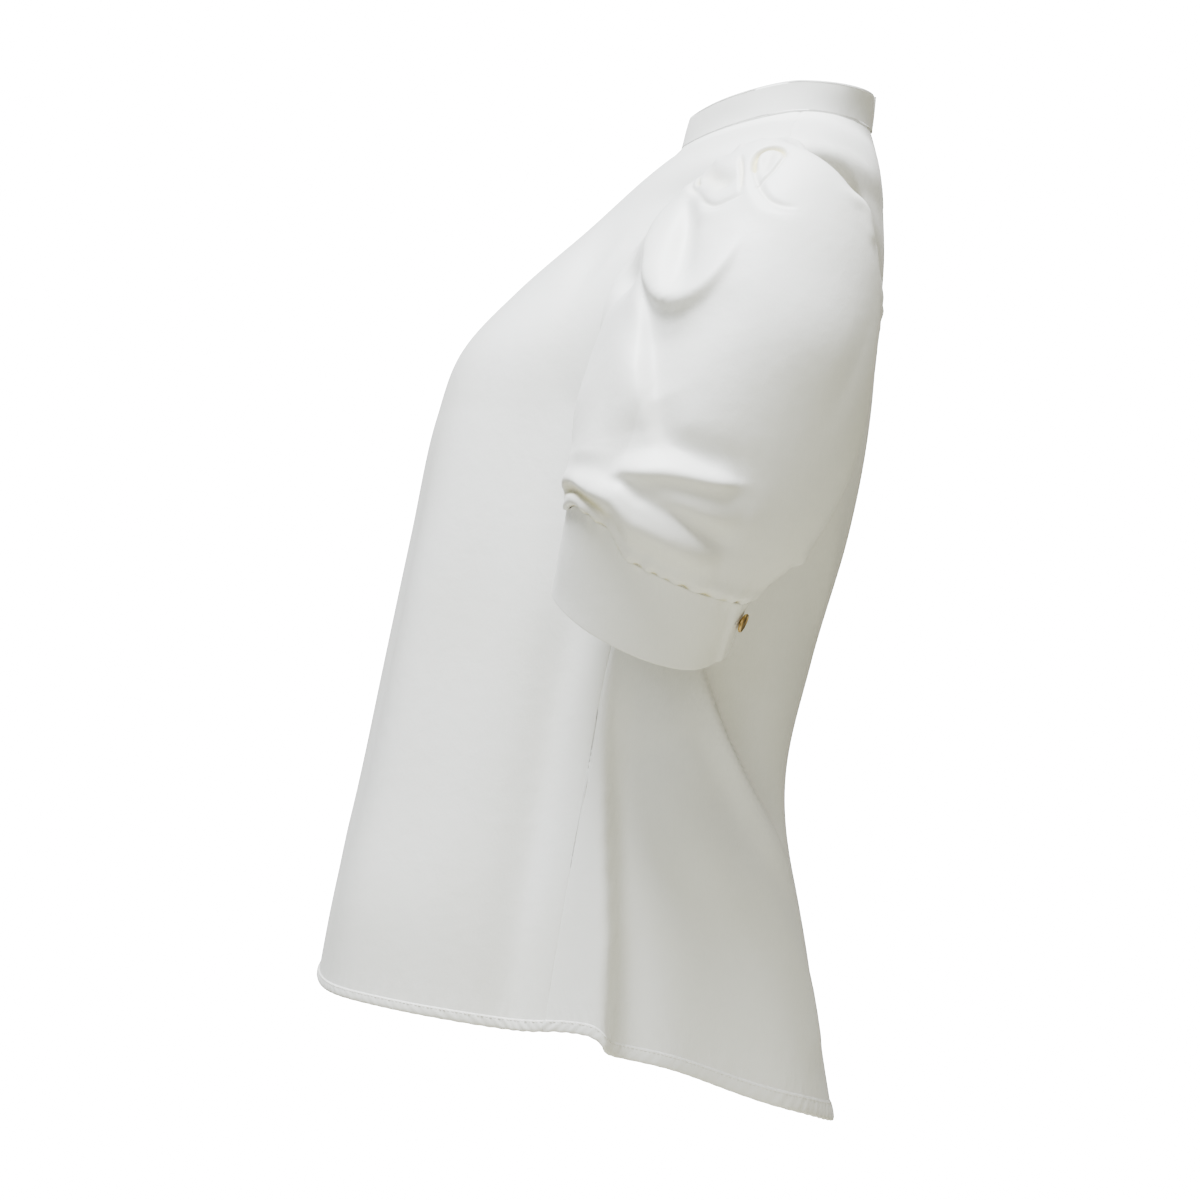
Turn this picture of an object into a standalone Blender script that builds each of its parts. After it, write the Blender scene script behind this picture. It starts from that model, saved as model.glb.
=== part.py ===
"""A stand-collar blouse with pleated puff sleeves and buttoned cuffs, as cloth walls in their worn shape.

+Z is up, the wearer faces -Y and the wearer's left is +X. The origin is on the centre plane, level
with the points where the collar seam meets the shoulder seams.
"""

import math

import bmesh
import bpy
import numpy as np
from mathutils import Vector

MM = 0.001  # every size below is in millimetres; this turns it into Blender's metres

# Cloth and seams
CLOTH_WALL = 1.2
BAND_WALL = 1.6  # collar and cuffs: two layers of cloth and the stiffening between them
HEM_WALL = 2.2
HEM_HEIGHT = 7.0  # a narrow hem, turned up twice
SEAM_GAP = 0.4
PANEL_EASE = 0.32  # how far each panel stops short of the side and shoulder seam

# The body, from hem to neck. Each row is one level: "up" is its distance from the hem along the
# panels, and the other columns are where it lies at the centre front, side seam and centre back.
# The powers say how its height changes from the side seam to the centre front and centre back.
BODY_COLUMNS = (
    "up front_y front_z side_x side_y side_z back_y back_z front_power back_power squareness"
)
BODY_ROWS = (
    (0, -304, -550, 203, -158, -573, 4, -634, 1.2, 1.5, 0.05),
    (62, -294, -497, 197, -147, -506, -2, -521, 1.5, 1.6, 0.06),
    (138, -278, -427, 188, -133, -427, -5, -432, 2.0, 1.8, 0.06),
    (217, -262, -350, 180, -120, -350, 13, -352, 2.0, 2.0, 0.06),
    (298, -245, -270, 174, -98, -270, 37, -270, 2.0, 2.0, 0.06),
    (375, -229, -195, 169, -72, -195, 51, -195, 2.0, 2.0, 0.05),
    (425, -213, -152, 171, -53, -150, 56, -142, 2.0, 2.0, 0.04),
    (477, -178, -114, 175, -36, -105, 60, -97, 2.0, 2.0, 0.02),
    (530, -133, -75, 178, -21, -64, 60, -64, 2.0, 2.0, 0.0),
    (575, -103, -48, 177, -9, -33, 59, -44, 2.0, 2.0, 0.0),
    (612, -86, -33, 120, -3, -15, 57, -28, 2.0, 2.0, 0.0),
    (638, -76, -24, 73, 2, -6, 54, -15, 1.6, 2.0, 0.0),
    (650, -71, -19, 62, 4, -1, 52, -8, 1.5, 2.0, 0.0),
)
NECK_UP = 650.0

# The armholes, as ovals on the body: heights along the panels, and half widths as degrees of turn.
UNDERARM_UP = 375.0
SHOULDER_UP = 575.0
ARMHOLE_FRONT_TURN = 29.0
ARMHOLE_BACK_TURN = 28.0
ARMHOLE_FRONT_LEAN = 0.3  # how much wider the front half is towards its top
ARMHOLE_BACK_LEAN = -0.25  # and the back half
ARMHOLE_INSET = 0.7  # how far inside the armhole's edge the sleeve starts
ARMHOLE_STAND = 0.5  # how far out from the body it starts
ARMHOLE_BLEND = 0.3  # the share of the sleeve over which it takes its own form

# Vertical folds of the body. "turn" is degrees from the centre front, at the hem and where the fold
# dies out; "out" is its height at the hem, and "drop" how far it carries the hem down.
BODY_FOLD_COLUMNS = "turn_hem turn_top up_top out drop width"
BODY_FOLD_ROWS = (
    (36, 40, 330, 5, 0, 13),
    (74, 76, 360, -5, 0, 10),
    (104, 98, 330, 10, 0, 9),
    (122, 112, 260, -6, 0, 11),
    (143, 118, 290, 42, 7, 17),
    (180, 180, 240, -6, 0, 22),
)
BODY_FOLD_SWELL = 1.6  # the power by which they grow towards the hem
RIGHT_FOLD_SHARE = 0.88  # the folds of the right side are a little flatter

# The sleeve, from the armhole to the cuff, as four rails: over the top of the arm, along its front,
# its underside and its back. "along" runs from 0 at the armhole seam to 1 at the cuff seam.
SLEEVE_COLUMNS = (
    "along top_x top_y top_z front_x front_y front_z under_x under_y under_z back_x back_y back_z"
)
SLEEVE_ROWS = (
    (0.00, 177, -9, -33, 152, -103, -108, 169, -72, -195, 155, 8, -102),
    (0.06, 190, -9, -29, 160, -106, -112, 174, -74, -191, 164, 16, -104),
    (0.18, 226, -12, -41, 176, -112, -124, 184, -76, -200, 184, 33, -112),
    (0.34, 262, -24, -86, 198, -124, -150, 189, -78, -213, 208, 40, -138),
    (0.52, 286, -44, -151, 216, -134, -188, 191, -81, -230, 224, 37, -184),
    (0.72, 297, -66, -216, 229, -134, -224, 194, -85, -250, 235, 22, -243),
    (0.88, 293, -84, -266, 237, -140, -246, 197, -88, -264, 241, -8, -289),
    (0.96, 286, -93, -288, 240, -143, -255, 199, -90, -269, 243, -29, -306),
    (1.00, 281, -96, -295, 240, -143, -258, 199, -90, -270, 243, -37, -311),
)

# The largest folds of the sleeve's outer side, as straight ridges (out > 0) and troughs (out < 0)
# seen from the side. "reach" is how far the fold spreads from its line.
SLEEVE_FOLD_COLUMNS = "from_y from_z to_y to_z out reach"
SLEEVE_FOLD_ROWS = (
    (-20, -45, -12, -75, -9, 11),
    (-62, -62, -55, -80, -8, 11),
    (-80, -88, -78, -112, 8, 12),
    (-70, -128, -40, -118, -7, 12),
    (-101, -125, -97, -190, 9, 11),
    (-74, -150, -68, -200, -7, 13),
    (-97, -185, -46, -232, 7, 10),
    (-104, -242, -52, -279, 7, 10),
    (-90, -244, -50, -254, -6, 9),
)

# The cuff: a band from the sleeve's end to this lower edge, named like a row of the sleeve. Its outer
# end laps over its under one at the back of the arm.
CUFF_EDGE_ROW = (1.0, 266, -97, -347, 228, -153, -308, 184, -102, -313, 226, -51, -344)
CUFF_GAP = 0.5
CUFF_START_TURN = 292.0  # where its under end lies, as degrees from the top of the arm by the front
CUFF_LAP_TURN = 34.0
CUFF_BUTTON_TURN = 8.0  # how far past the under end's edge the button sits
CUFF_BUTTON_HEIGHT = 0.66  # where it sits between the lower and the upper edge

# The collar: a stand whose ends meet edge to edge at the centre back.
COLLAR_TOP_SIDE = (60.0, 3.6, 19.5)  # x, y and z of its upper edge
COLLAR_TOP_FRONT = (-65.0, 2.3)  # y and z
COLLAR_TOP_BACK = (54.6, 16.0)
COLLAR_FRONT_POWER = 1.5
COLLAR_GAP = 0.5

# The slit that lets the head through: the centre back seam is left open above it.
BACK_SLIT_LENGTH = 110.0
BACK_SLIT_GAP = 1.2

# Shank buttons
BUTTON_RADIUS = 6.0
BUTTON_THICKNESS = 2.4
BUTTON_RIM = 0.9
SHANK_RADIUS = 1.6
SHANK_LENGTH = 0.9
BUTTON_SEGMENTS = 20

# Facets
BODY_ROWS_BELOW = 9
BODY_ROWS_SHOULDER = 4
FRONT_COLUMNS = 22
BACK_COLUMNS = 11
SLEEVE_TURNS = 24
SLEEVE_ROW_PLACES = (0, 0.03, 0.08, 0.15, 0.23, 0.32, 0.42, 0.52, 0.62, 0.72, 0.82, 0.9, 0.96, 1)
BAND_STEPS = 36

CLOTH_COLOUR = (0.86, 0.86, 0.83, 1.0)
BRASS_COLOUR = (0.72, 0.52, 0.25, 1.0)


def clear_scene():
    for old in list(bpy.data.objects):
        bpy.data.objects.remove(old)


def material(name, colour, roughness, metallic=0.0):
    made = bpy.data.materials.new(name)
    made.use_nodes = True
    shader = made.node_tree.nodes["Principled BSDF"]
    shader.inputs["Base Color"].default_value = colour
    shader.inputs["Roughness"].default_value = roughness
    shader.inputs["Metallic"].default_value = metallic
    return made


def named_rows(columns, rows):
    """Each row as a dictionary of its named columns."""
    return [dict(zip(columns.split(), row)) for row in rows]


def named_columns(columns, rows):
    """Each named column as an array."""
    return dict(zip(columns.split(), np.array(rows, float).T))


BODY = named_columns(BODY_COLUMNS, BODY_ROWS)
BODY_FOLDS = named_rows(BODY_FOLD_COLUMNS, BODY_FOLD_ROWS)
SLEEVE = named_columns(SLEEVE_COLUMNS, SLEEVE_ROWS)
SLEEVE_FOLDS = named_rows(SLEEVE_FOLD_COLUMNS, SLEEVE_FOLD_ROWS)
CUFF_EDGE = named_rows(SLEEVE_COLUMNS, (CUFF_EDGE_ROW,))[0]
RAILS = ("top", "front", "under", "back")


def smooth_through(at, knots, values):
    """A smooth curve through the values at the knots, read at each place in at."""
    slopes = np.gradient(values, knots)
    place = np.clip(np.searchsorted(knots, at, side="right") - 1, 0, len(knots) - 2)
    step = knots[place + 1] - knots[place]
    t = (at - knots[place]) / step
    low, high = values[place], values[place + 1]
    return (
        low * (1 + 2 * t) * (1 - t) ** 2
        + high * t**2 * (3 - 2 * t)
        + step * slopes[place] * t * (1 - t) ** 2
        - step * slopes[place + 1] * t**2 * (1 - t)
    )


def smooth_step(x):
    x = np.clip(x, 0.0, 1.0)
    return x * x * (3 - 2 * x)


def oval(turn, side, front, back, front_power=2.0, back_power=2.0, square=0.0):
    """Points round the body at one level, from where its side and its middle front and back lie.

    turn is degrees from the centre front, positive to the left side. side is (x, y, z), front and
    back are (y, z), and a power says how the level climbs or drops from the side to the middle.
    """
    angle = np.radians(turn)
    sideways = (np.sin(angle) + square * np.sin(3 * angle)) / (1 - square)
    forward = (np.cos(angle) - square * np.cos(3 * angle)) / (1 - square)
    ahead = forward >= 0
    share = np.abs(forward)
    y = side[1] + share * (np.where(ahead, front[0], back[0]) - side[1])
    drop = np.where(ahead, share**front_power, share**back_power)
    z = side[2] + drop * (np.where(ahead, front[1], back[1]) - side[2])
    return np.stack([side[0] * sideways, y, z], axis=-1)


def body_point(turn, up):
    """The outer surface of the body."""
    turn, up = np.broadcast_arrays(np.asarray(turn, float), np.asarray(up, float))
    level = {name: smooth_through(up, BODY["up"], BODY[name]) for name in BODY}
    points = oval(
        turn,
        (level["side_x"], level["side_y"], level["side_z"]),
        (level["front_y"], level["front_z"]),
        (level["back_y"], level["back_z"]),
        level["front_power"],
        level["back_power"],
        level["squareness"],
    )
    angle = np.radians(turn)
    for fold in BODY_FOLDS:
        fade = np.clip(1 - up / fold["up_top"], 0, 1)
        middle = fold["turn_top"] + (fold["turn_hem"] - fold["turn_top"]) * fade
        away = (np.abs(turn) - middle) / fold["width"]
        size = np.exp(-0.5 * away**2) * fade**BODY_FOLD_SWELL * np.where(turn < 0, RIGHT_FOLD_SHARE, 1.0)
        outward = np.stack([np.sin(angle), -np.cos(angle), np.zeros_like(angle)], axis=-1)
        points = points + fold["out"] * size[..., None] * outward
        points[..., 2] -= fold["drop"] * size
    return points


def armhole_edge(round_arm, inset=0.0):
    """The armhole seam as turn and height, moved in by the inset.

    round_arm is degrees round the arm from its top, by way of the front.
    """
    angle = np.radians(round_arm)
    half = (SHOULDER_UP - UNDERARM_UP) / 2
    shrink = 1 - inset / half
    rise, forward = np.cos(angle), np.sin(angle)
    front = ARMHOLE_FRONT_TURN * (1 + ARMHOLE_FRONT_LEAN * rise)
    back = ARMHOLE_BACK_TURN * (1 + ARMHOLE_BACK_LEAN * rise)
    turn = 90 - np.where(forward > 0, front, back) * shrink * forward
    return turn, (SHOULDER_UP + UNDERARM_UP) / 2 + half * shrink * rise


def armhole_reach(up, side):
    """How far the armhole reaches from the side line at each height, in degrees. side is 1 at the front."""
    half = (SHOULDER_UP - UNDERARM_UP) / 2
    rise = np.clip((up - (SHOULDER_UP + UNDERARM_UP) / 2) / half, -1, 1)
    return np.abs(armhole_edge(side * np.degrees(np.arccos(rise)))[0] - 90)


def body_levels():
    """The heights of the rows of facets. Beside the armhole they meet the corners of the sleeve's facets."""
    below = np.linspace(0, UNDERARM_UP, BODY_ROWS_BELOW + 1)
    below = np.insert(below, 1, (HEM_HEIGHT, HEM_HEIGHT + 1))
    swing = np.cos(np.linspace(math.pi, 0, SLEEVE_TURNS // 2 + 1)[1:])
    beside = (SHOULDER_UP + UNDERARM_UP) / 2 + (SHOULDER_UP - UNDERARM_UP) / 2 * swing
    above = np.linspace(SHOULDER_UP, NECK_UP, BODY_ROWS_SHOULDER + 1)[1:]
    return np.concatenate([below, beside, above])


def edge_ease(up, middle):
    """The turn, in degrees, that keeps a panel short of the side seam. middle is "front" or "back"."""
    reach = smooth_through(up, BODY["up"], np.abs(BODY[f"{middle}_y"] - BODY["side_y"]))
    return np.degrees(PANEL_EASE / reach)


def front_grid():
    up = body_levels()
    edge = 90 - armhole_reach(up, 1) - edge_ease(up, "front")
    share = np.linspace(-1, 1, FRONT_COLUMNS + 1)
    turn = 90 * share[None, :] - (90 - edge)[:, None] * share[None, :] ** 3
    return body_point(turn, up[:, None])


def back_grid(side):
    """One half of the back: side is +1 for the left half and -1 for the right."""
    up = body_levels()
    edge = 90 + armhole_reach(up, -1) + edge_ease(up, "back")
    share = np.linspace(0, 1, BACK_COLUMNS + 1)
    turn = 180 - 90 * share[None, :] + (edge - 90)[:, None] * share[None, :] ** 3
    points = body_point(side * turn, up[:, None])
    points[:, 0, 0] = side * np.where(up > NECK_UP - BACK_SLIT_LENGTH, BACK_SLIT_GAP, SEAM_GAP) / 2
    return points


def ring_through(round_arm, rails):
    """A smooth ring round the arm through its points over the top, front, underside and back."""
    angle = np.radians(round_arm)[..., None]
    top, front, under, back = rails
    middle = (top + under) / 2
    across = (front + back) / 2
    return (
        middle
        + (top - under) / 2 * np.cos(angle)
        + (across - middle) * np.sin(angle) ** 2
        + (front - back) / 2 * np.sin(angle)
    )


def sleeve_rails(along):
    return [
        np.stack(
            [smooth_through(along, SLEEVE["along"], SLEEVE[f"{rail}_{axis}"]) for axis in "xyz"],
            axis=-1,
        )
        for rail in RAILS
    ]


def sleeve_point(round_arm, along):
    """The outer surface of the left sleeve, without its folds."""
    round_arm, along = np.broadcast_arrays(np.asarray(round_arm, float), np.asarray(along, float))
    ring = ring_through(round_arm, sleeve_rails(along))
    first = ring_through(round_arm, sleeve_rails(np.zeros_like(along)))
    seam = body_point(*armhole_edge(round_arm, ARMHOLE_INSET)) + np.array([ARMHOLE_STAND, 0, 0])
    return ring + (seam - first) * (1 - smooth_step(along / ARMHOLE_BLEND))[..., None]


def sleeve_grid():
    along = np.array(SLEEVE_ROW_PLACES)
    round_arm = np.linspace(0, 360, SLEEVE_TURNS, endpoint=False)
    points = sleeve_point(round_arm[None, :], along[:, None])
    normals = outward_normals(points, closed=True)
    facing = smooth_step(normals[..., 0] / 0.35)
    near_seams = smooth_step(along / 0.10) * smooth_step((1 - along) / 0.06)
    lift = np.zeros(points.shape[:2])
    for fold in SLEEVE_FOLDS:
        start = np.array([fold["from_y"], fold["from_z"]])
        run = np.array([fold["to_y"], fold["to_z"]]) - start
        seen = points[..., 1:] - start
        share = np.clip(seen @ run / (run @ run), 0, 1)
        away = np.linalg.norm(seen - share[..., None] * run, axis=-1) / fold["reach"]
        lift += fold["out"] * np.exp(-0.5 * away**2)
    return points + normals * (lift * facing * near_seams[:, None])[..., None]


def mirrored(points):
    return points * np.array([-1.0, 1.0, 1.0])


def cuff_points(travelled):
    """The left cuff, at degrees travelled round it from its under end, which its far end laps over."""
    round_arm = CUFF_START_TURN - travelled
    edge = [np.array([CUFF_EDGE[f"{rail}_{axis}"] for axis in "xyz"], float) for rail in RAILS]
    lower = ring_through(round_arm, edge)
    upper = ring_through(round_arm, sleeve_rails(np.ones_like(travelled)))
    down = lower - upper
    upper = upper + down / np.linalg.norm(down, axis=-1, keepdims=True) * CUFF_GAP
    points = np.stack([lower, (lower + upper) / 2, upper])
    lift = (BAND_WALL + SEAM_GAP) * smooth_step((travelled - 350) / 8)
    return points + outward_normals(points) * lift[None, :, None]


def collar_grid():
    turn = np.linspace(-180, 180, BAND_STEPS + 1)
    lower = body_point(turn, NECK_UP) + np.array([0, 0, COLLAR_GAP])
    upper = oval(turn, COLLAR_TOP_SIDE, COLLAR_TOP_FRONT, COLLAR_TOP_BACK, COLLAR_FRONT_POWER)
    points = np.stack([lower, (lower + upper) / 2, upper])
    points[:, 0, 0] = -BACK_SLIT_GAP / 2
    points[:, -1, 0] = BACK_SLIT_GAP / 2
    return points


def outward_normals(points, closed=False):
    """The normal at each point of a grid of rows and columns, facing away from the hollow."""
    if closed:
        wide = np.concatenate([points[:, -1:], points, points[:, :1]], axis=1)
        across = (wide[:, 2:] - wide[:, :-2]) / 2
    else:
        across = np.gradient(points, axis=1)
    normals = np.cross(across, np.gradient(points, axis=0))
    normals /= np.linalg.norm(normals, axis=-1, keepdims=True)
    away = points - points.mean(axis=1, keepdims=True)
    return normals * np.sign(np.sum(normals * away))


def cloth_wall(name, outer, wall, look, closed=False):
    """A closed solid between a grid of outer points and the same grid moved in by the wall."""
    wall = np.broadcast_to(np.asarray(wall, float), (outer.shape[0],))
    inner = outer - outward_normals(outer, closed) * wall[:, None, None]
    rows, columns = outer.shape[:2]
    shape = bmesh.new()
    skins = [[[shape.verts.new(point * MM) for point in row] for row in skin] for skin in (outer, inner)]
    steps = columns if closed else columns - 1
    for verts in skins:
        for row in range(rows - 1):
            for column in range(steps):
                beside = (column + 1) % columns
                lower, upper = verts[row], verts[row + 1]
                shape.faces.new((lower[column], lower[beside], upper[beside], upper[column]))
    outside, inside = skins
    for row in (0, rows - 1):
        for column in range(steps):
            beside = (column + 1) % columns
            out, back = outside[row], inside[row]
            shape.faces.new((out[column], out[beside], back[beside], back[column]))
    if not closed:
        for column in (0, columns - 1):
            for row in range(rows - 1):
                out = (outside[row][column], outside[row + 1][column])
                shape.faces.new((*out, inside[row + 1][column], inside[row][column]))
    bmesh.ops.recalc_face_normals(shape, faces=shape.faces)
    return finished(name, shape, look)


def finished(name, shape, look):
    mesh = bpy.data.meshes.new(name)
    shape.to_mesh(mesh)
    shape.free()
    mesh.shade_smooth()
    mesh.set_sharp_from_angle(angle=math.radians(40))
    mesh.materials.append(look)
    made = bpy.data.objects.new(name, mesh)
    bpy.context.scene.collection.objects.link(made)
    return made


def button(name, look, seat, outward):
    """A shank button that stands on its seat, as one turned piece."""
    top = SHANK_LENGTH + BUTTON_THICKNESS
    profile = (
        (0.0, 0.0),
        (SHANK_RADIUS, 0.0),
        (SHANK_RADIUS, SHANK_LENGTH),
        (BUTTON_RADIUS - BUTTON_RIM, SHANK_LENGTH),
        (BUTTON_RADIUS, SHANK_LENGTH + BUTTON_RIM),
        (BUTTON_RADIUS, top - BUTTON_RIM / 2),
        (BUTTON_RADIUS - BUTTON_RIM / 2, top),
        (BUTTON_RADIUS - BUTTON_RIM * 1.5, top),
        (BUTTON_RADIUS - BUTTON_RIM * 2, top - BUTTON_RIM / 2),
        (0.0, top - BUTTON_RIM / 2),
    )
    shape = bmesh.new()
    verts = [shape.verts.new((radius * MM, 0, height * MM)) for radius, height in profile]
    edges = [shape.edges.new(pair) for pair in zip(verts, verts[1:])]
    bmesh.ops.spin(
        shape,
        geom=verts + edges,
        cent=(0, 0, 0),
        axis=(0, 0, 1),
        angle=math.tau,
        steps=BUTTON_SEGMENTS,
        use_merge=True,
    )
    bmesh.ops.remove_doubles(shape, verts=shape.verts, dist=1e-6)
    bmesh.ops.recalc_face_normals(shape, faces=shape.faces)
    made = finished(name, shape, look)
    made.location = Vector(seat + outward * SEAM_GAP) * MM
    made.rotation_euler = Vector(outward).to_track_quat("Z", "Y").to_euler()
    return made


def cuff_button_seat():
    """Where the left cuff's button stands, and the direction that it faces."""
    place = 360 + CUFF_BUTTON_TURN + np.array([-3.0, 0.0, 3.0])
    lower, middle, upper = cuff_points(place)
    facing = np.cross(upper[1] - lower[1], middle[2] - middle[0])
    facing /= np.linalg.norm(facing)
    seat = lower[1] + (upper[1] - lower[1]) * CUFF_BUTTON_HEIGHT
    arm = cuff_points(np.arange(0.0, 360.0, 10.0)).mean(axis=(0, 1))
    return seat, facing * np.sign(facing @ (seat - arm))


def main():
    clear_scene()
    cloth = material("ivory_satin", CLOTH_COLOUR, 0.45)
    brass = material("brass", BRASS_COLOUR, 0.35, 1.0)

    up = body_levels()
    wall = np.where(up <= HEM_HEIGHT, HEM_WALL, CLOTH_WALL)
    cloth_wall("front", front_grid(), wall, cloth)
    cloth_wall("back_left", back_grid(1), wall, cloth)
    cloth_wall("back_right", back_grid(-1), wall, cloth)

    sleeve = sleeve_grid()
    cloth_wall("sleeve_left", sleeve, CLOTH_WALL, cloth, closed=True)
    cloth_wall("sleeve_right", mirrored(sleeve), CLOTH_WALL, cloth, closed=True)

    cuff = cuff_points(np.linspace(0, 360 + CUFF_LAP_TURN, BAND_STEPS + 1))
    cloth_wall("cuff_left", cuff, BAND_WALL, cloth)
    cloth_wall("cuff_right", mirrored(cuff), BAND_WALL, cloth)
    cloth_wall("collar", collar_grid(), BAND_WALL, cloth)

    seat, facing = cuff_button_seat()
    button("cuff_button_left", brass, seat, facing)
    button("cuff_button_right", brass, mirrored(seat), mirrored(facing))


main()
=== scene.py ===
"""Scene for a stand-collar blouse with pleated puff sleeves and buttoned cuffs, in its worn shape.

The tables and shapes work in millimetres, and each mesh is turned into metres where it is made.
"turn" is degrees round the body from the centre front, or round the arm from its top by the front.
"""

import math
from collections import namedtuple

import bmesh
import bpy
import numpy as np
from mathutils import Matrix, Vector


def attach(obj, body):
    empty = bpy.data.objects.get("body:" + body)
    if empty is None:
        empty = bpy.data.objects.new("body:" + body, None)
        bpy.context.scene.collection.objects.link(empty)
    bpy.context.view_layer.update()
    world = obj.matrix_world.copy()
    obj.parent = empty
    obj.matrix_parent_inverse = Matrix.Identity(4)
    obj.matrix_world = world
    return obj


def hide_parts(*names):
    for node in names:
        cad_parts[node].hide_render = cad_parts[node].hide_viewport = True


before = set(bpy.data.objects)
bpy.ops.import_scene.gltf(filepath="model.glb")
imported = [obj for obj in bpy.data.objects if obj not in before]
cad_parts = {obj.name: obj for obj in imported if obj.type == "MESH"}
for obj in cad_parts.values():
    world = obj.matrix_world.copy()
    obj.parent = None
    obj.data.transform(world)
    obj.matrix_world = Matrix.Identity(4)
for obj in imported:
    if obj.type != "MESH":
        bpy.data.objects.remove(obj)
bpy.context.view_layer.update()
MM = 0.001

# -------------------- sizes of the cut

HEM_HEIGHT = 7.0
NECK_UP = 650.0
UNDERARM_UP = 375.0
SHOULDER_UP = 575.0
ARMHOLE_MIDDLE = (SHOULDER_UP + UNDERARM_UP) / 2
ARMHOLE_HALF = (SHOULDER_UP - UNDERARM_UP) / 2
BACK_SLIT_LENGTH = 110.0
BACK_SLIT_GAP = 1.2
SEAM_LAP = 0.2  # how far two pieces run into each other where they are sewn together
ARMHOLE_LAP = 1.0  # the same at the armhole, where the two walls meet at a slant
CLOTH_WALL = 1.2
BAND_WALL = 1.6  # collar and cuffs: two layers of cloth and the stiffening between them

BODY_COLUMNS = "up front_y front_z side_x side_y side_z back_y back_z front_power back_power square"
BODY_ROWS = (
    (0, -304, -550, 203, -158, -573, 4, -634, 1.2, 1.5, 0.05),
    (62, -294, -497, 197, -147, -506, -2, -521, 1.5, 1.6, 0.06),
    (138, -278, -427, 188, -133, -427, -5, -432, 2.0, 1.8, 0.06),
    (217, -262, -350, 180, -120, -350, 13, -352, 2.0, 2.0, 0.06),
    (298, -245, -270, 174, -98, -270, 37, -270, 2.0, 2.0, 0.06),
    (375, -229, -195, 169, -72, -195, 51, -195, 2.0, 2.0, 0.05),
    (425, -213, -152, 171, -53, -150, 56, -142, 2.0, 2.0, 0.04),
    (477, -178, -114, 175, -36, -105, 60, -97, 2.0, 2.0, 0.02),
    (530, -133, -75, 178, -21, -64, 60, -64, 2.0, 2.0, 0.0),
    (575, -103, -48, 177, -9, -33, 59, -44, 2.0, 2.0, 0.0),
    (612, -86, -33, 120, -3, -15, 57, -28, 2.0, 2.0, 0.0),
    (638, -76, -24, 73, 2, -6, 54, -15, 1.6, 2.0, 0.0),
    (650, -71, -19, 62, 4, -1, 52, -8, 1.5, 2.0, 0.0),
)
BODY_FOLD_COLUMNS = "turn_hem turn_top up_top out drop width"
BODY_FOLD_ROWS = (
    (36, 40, 330, 5, 0, 13),
    (74, 76, 360, -5, 0, 10),
    (104, 98, 330, 10, 0, 9),
    (122, 112, 260, -6, 0, 11),
    (143, 118, 290, 42, 7, 17),
    (180, 180, 240, -6, 0, 22),
)
BODY_FOLD_SWELL = 1.6  # how quickly a fold opens towards the hem
RIGHT_FOLD_SHARE = 0.88
HEM_STEP = (99.6, 4.5)  # where the hem steps down behind the side seam, and half of how much

ARMHOLE_COLUMNS = "side width lean"
ARMHOLE_ROWS = (("front", 29.0, 0.3), ("back", 28.0, -0.25))
ARMHOLE_BLEND = 0.3  # the share of the sleeve over which the armhole shapes it

SLEEVE_COLUMNS = (
    "along top_x top_y top_z front_x front_y front_z under_x under_y under_z back_x back_y back_z"
)
SLEEVE_ROWS = (
    (0.00, 177, -9, -33, 152, -103, -108, 169, -72, -195, 155, 8, -102),
    (0.06, 190, -9, -29, 160, -106, -112, 174, -74, -191, 164, 16, -104),
    (0.18, 226, -12, -41, 176, -112, -124, 184, -76, -200, 184, 33, -112),
    (0.34, 262, -24, -86, 198, -124, -150, 189, -78, -213, 208, 40, -138),
    (0.52, 286, -44, -151, 216, -134, -188, 191, -81, -230, 224, 37, -184),
    (0.72, 297, -66, -216, 229, -134, -224, 194, -85, -250, 235, 22, -243),
    (0.88, 293, -84, -266, 237, -140, -246, 197, -88, -264, 241, -8, -289),
    (0.96, 286, -93, -288, 240, -143, -255, 199, -90, -269, 243, -29, -306),
    (1.00, 281, -96, -295, 240, -143, -258, 199, -90, -270, 243, -37, -311),
)
SLEEVE_LENGTH = 340.0
CUFF_EDGE_ROW = (1.0, 266, -97, -347, 228, -153, -308, 184, -102, -313, 226, -51, -344)
CUFF_START_TURN = 292.0
CUFF_LAP_TURN = 34.0
CUFF_BUTTON_TURN = 8.0
CUFF_BUTTON_HEIGHT = 0.66
CUFF_SEAM_LAP = 0.7
CUFF_HEIGHT = 50.0
CUFF_CLIMB = 12.0  # how far its seam with the sleeve climbs at the front of the arm
CUFF_CORNER_RISE = 0.13  # how much shorter the band is at its two ends, as a share of its height

COLLAR_TOP_SIDE = (60.0, 3.6, 19.5)
COLLAR_TOP_FRONT = (-65.0, 2.3)
COLLAR_TOP_BACK = (54.6, 16.0)
COLLAR_FRONT_POWER = 1.5
COLLAR_HEIGHT = 23.0

FLIPS = {"left": np.array([1.0, 1.0, 1.0]), "right": np.array([-1.0, 1.0, 1.0])}

# -------------------- creases

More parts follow.
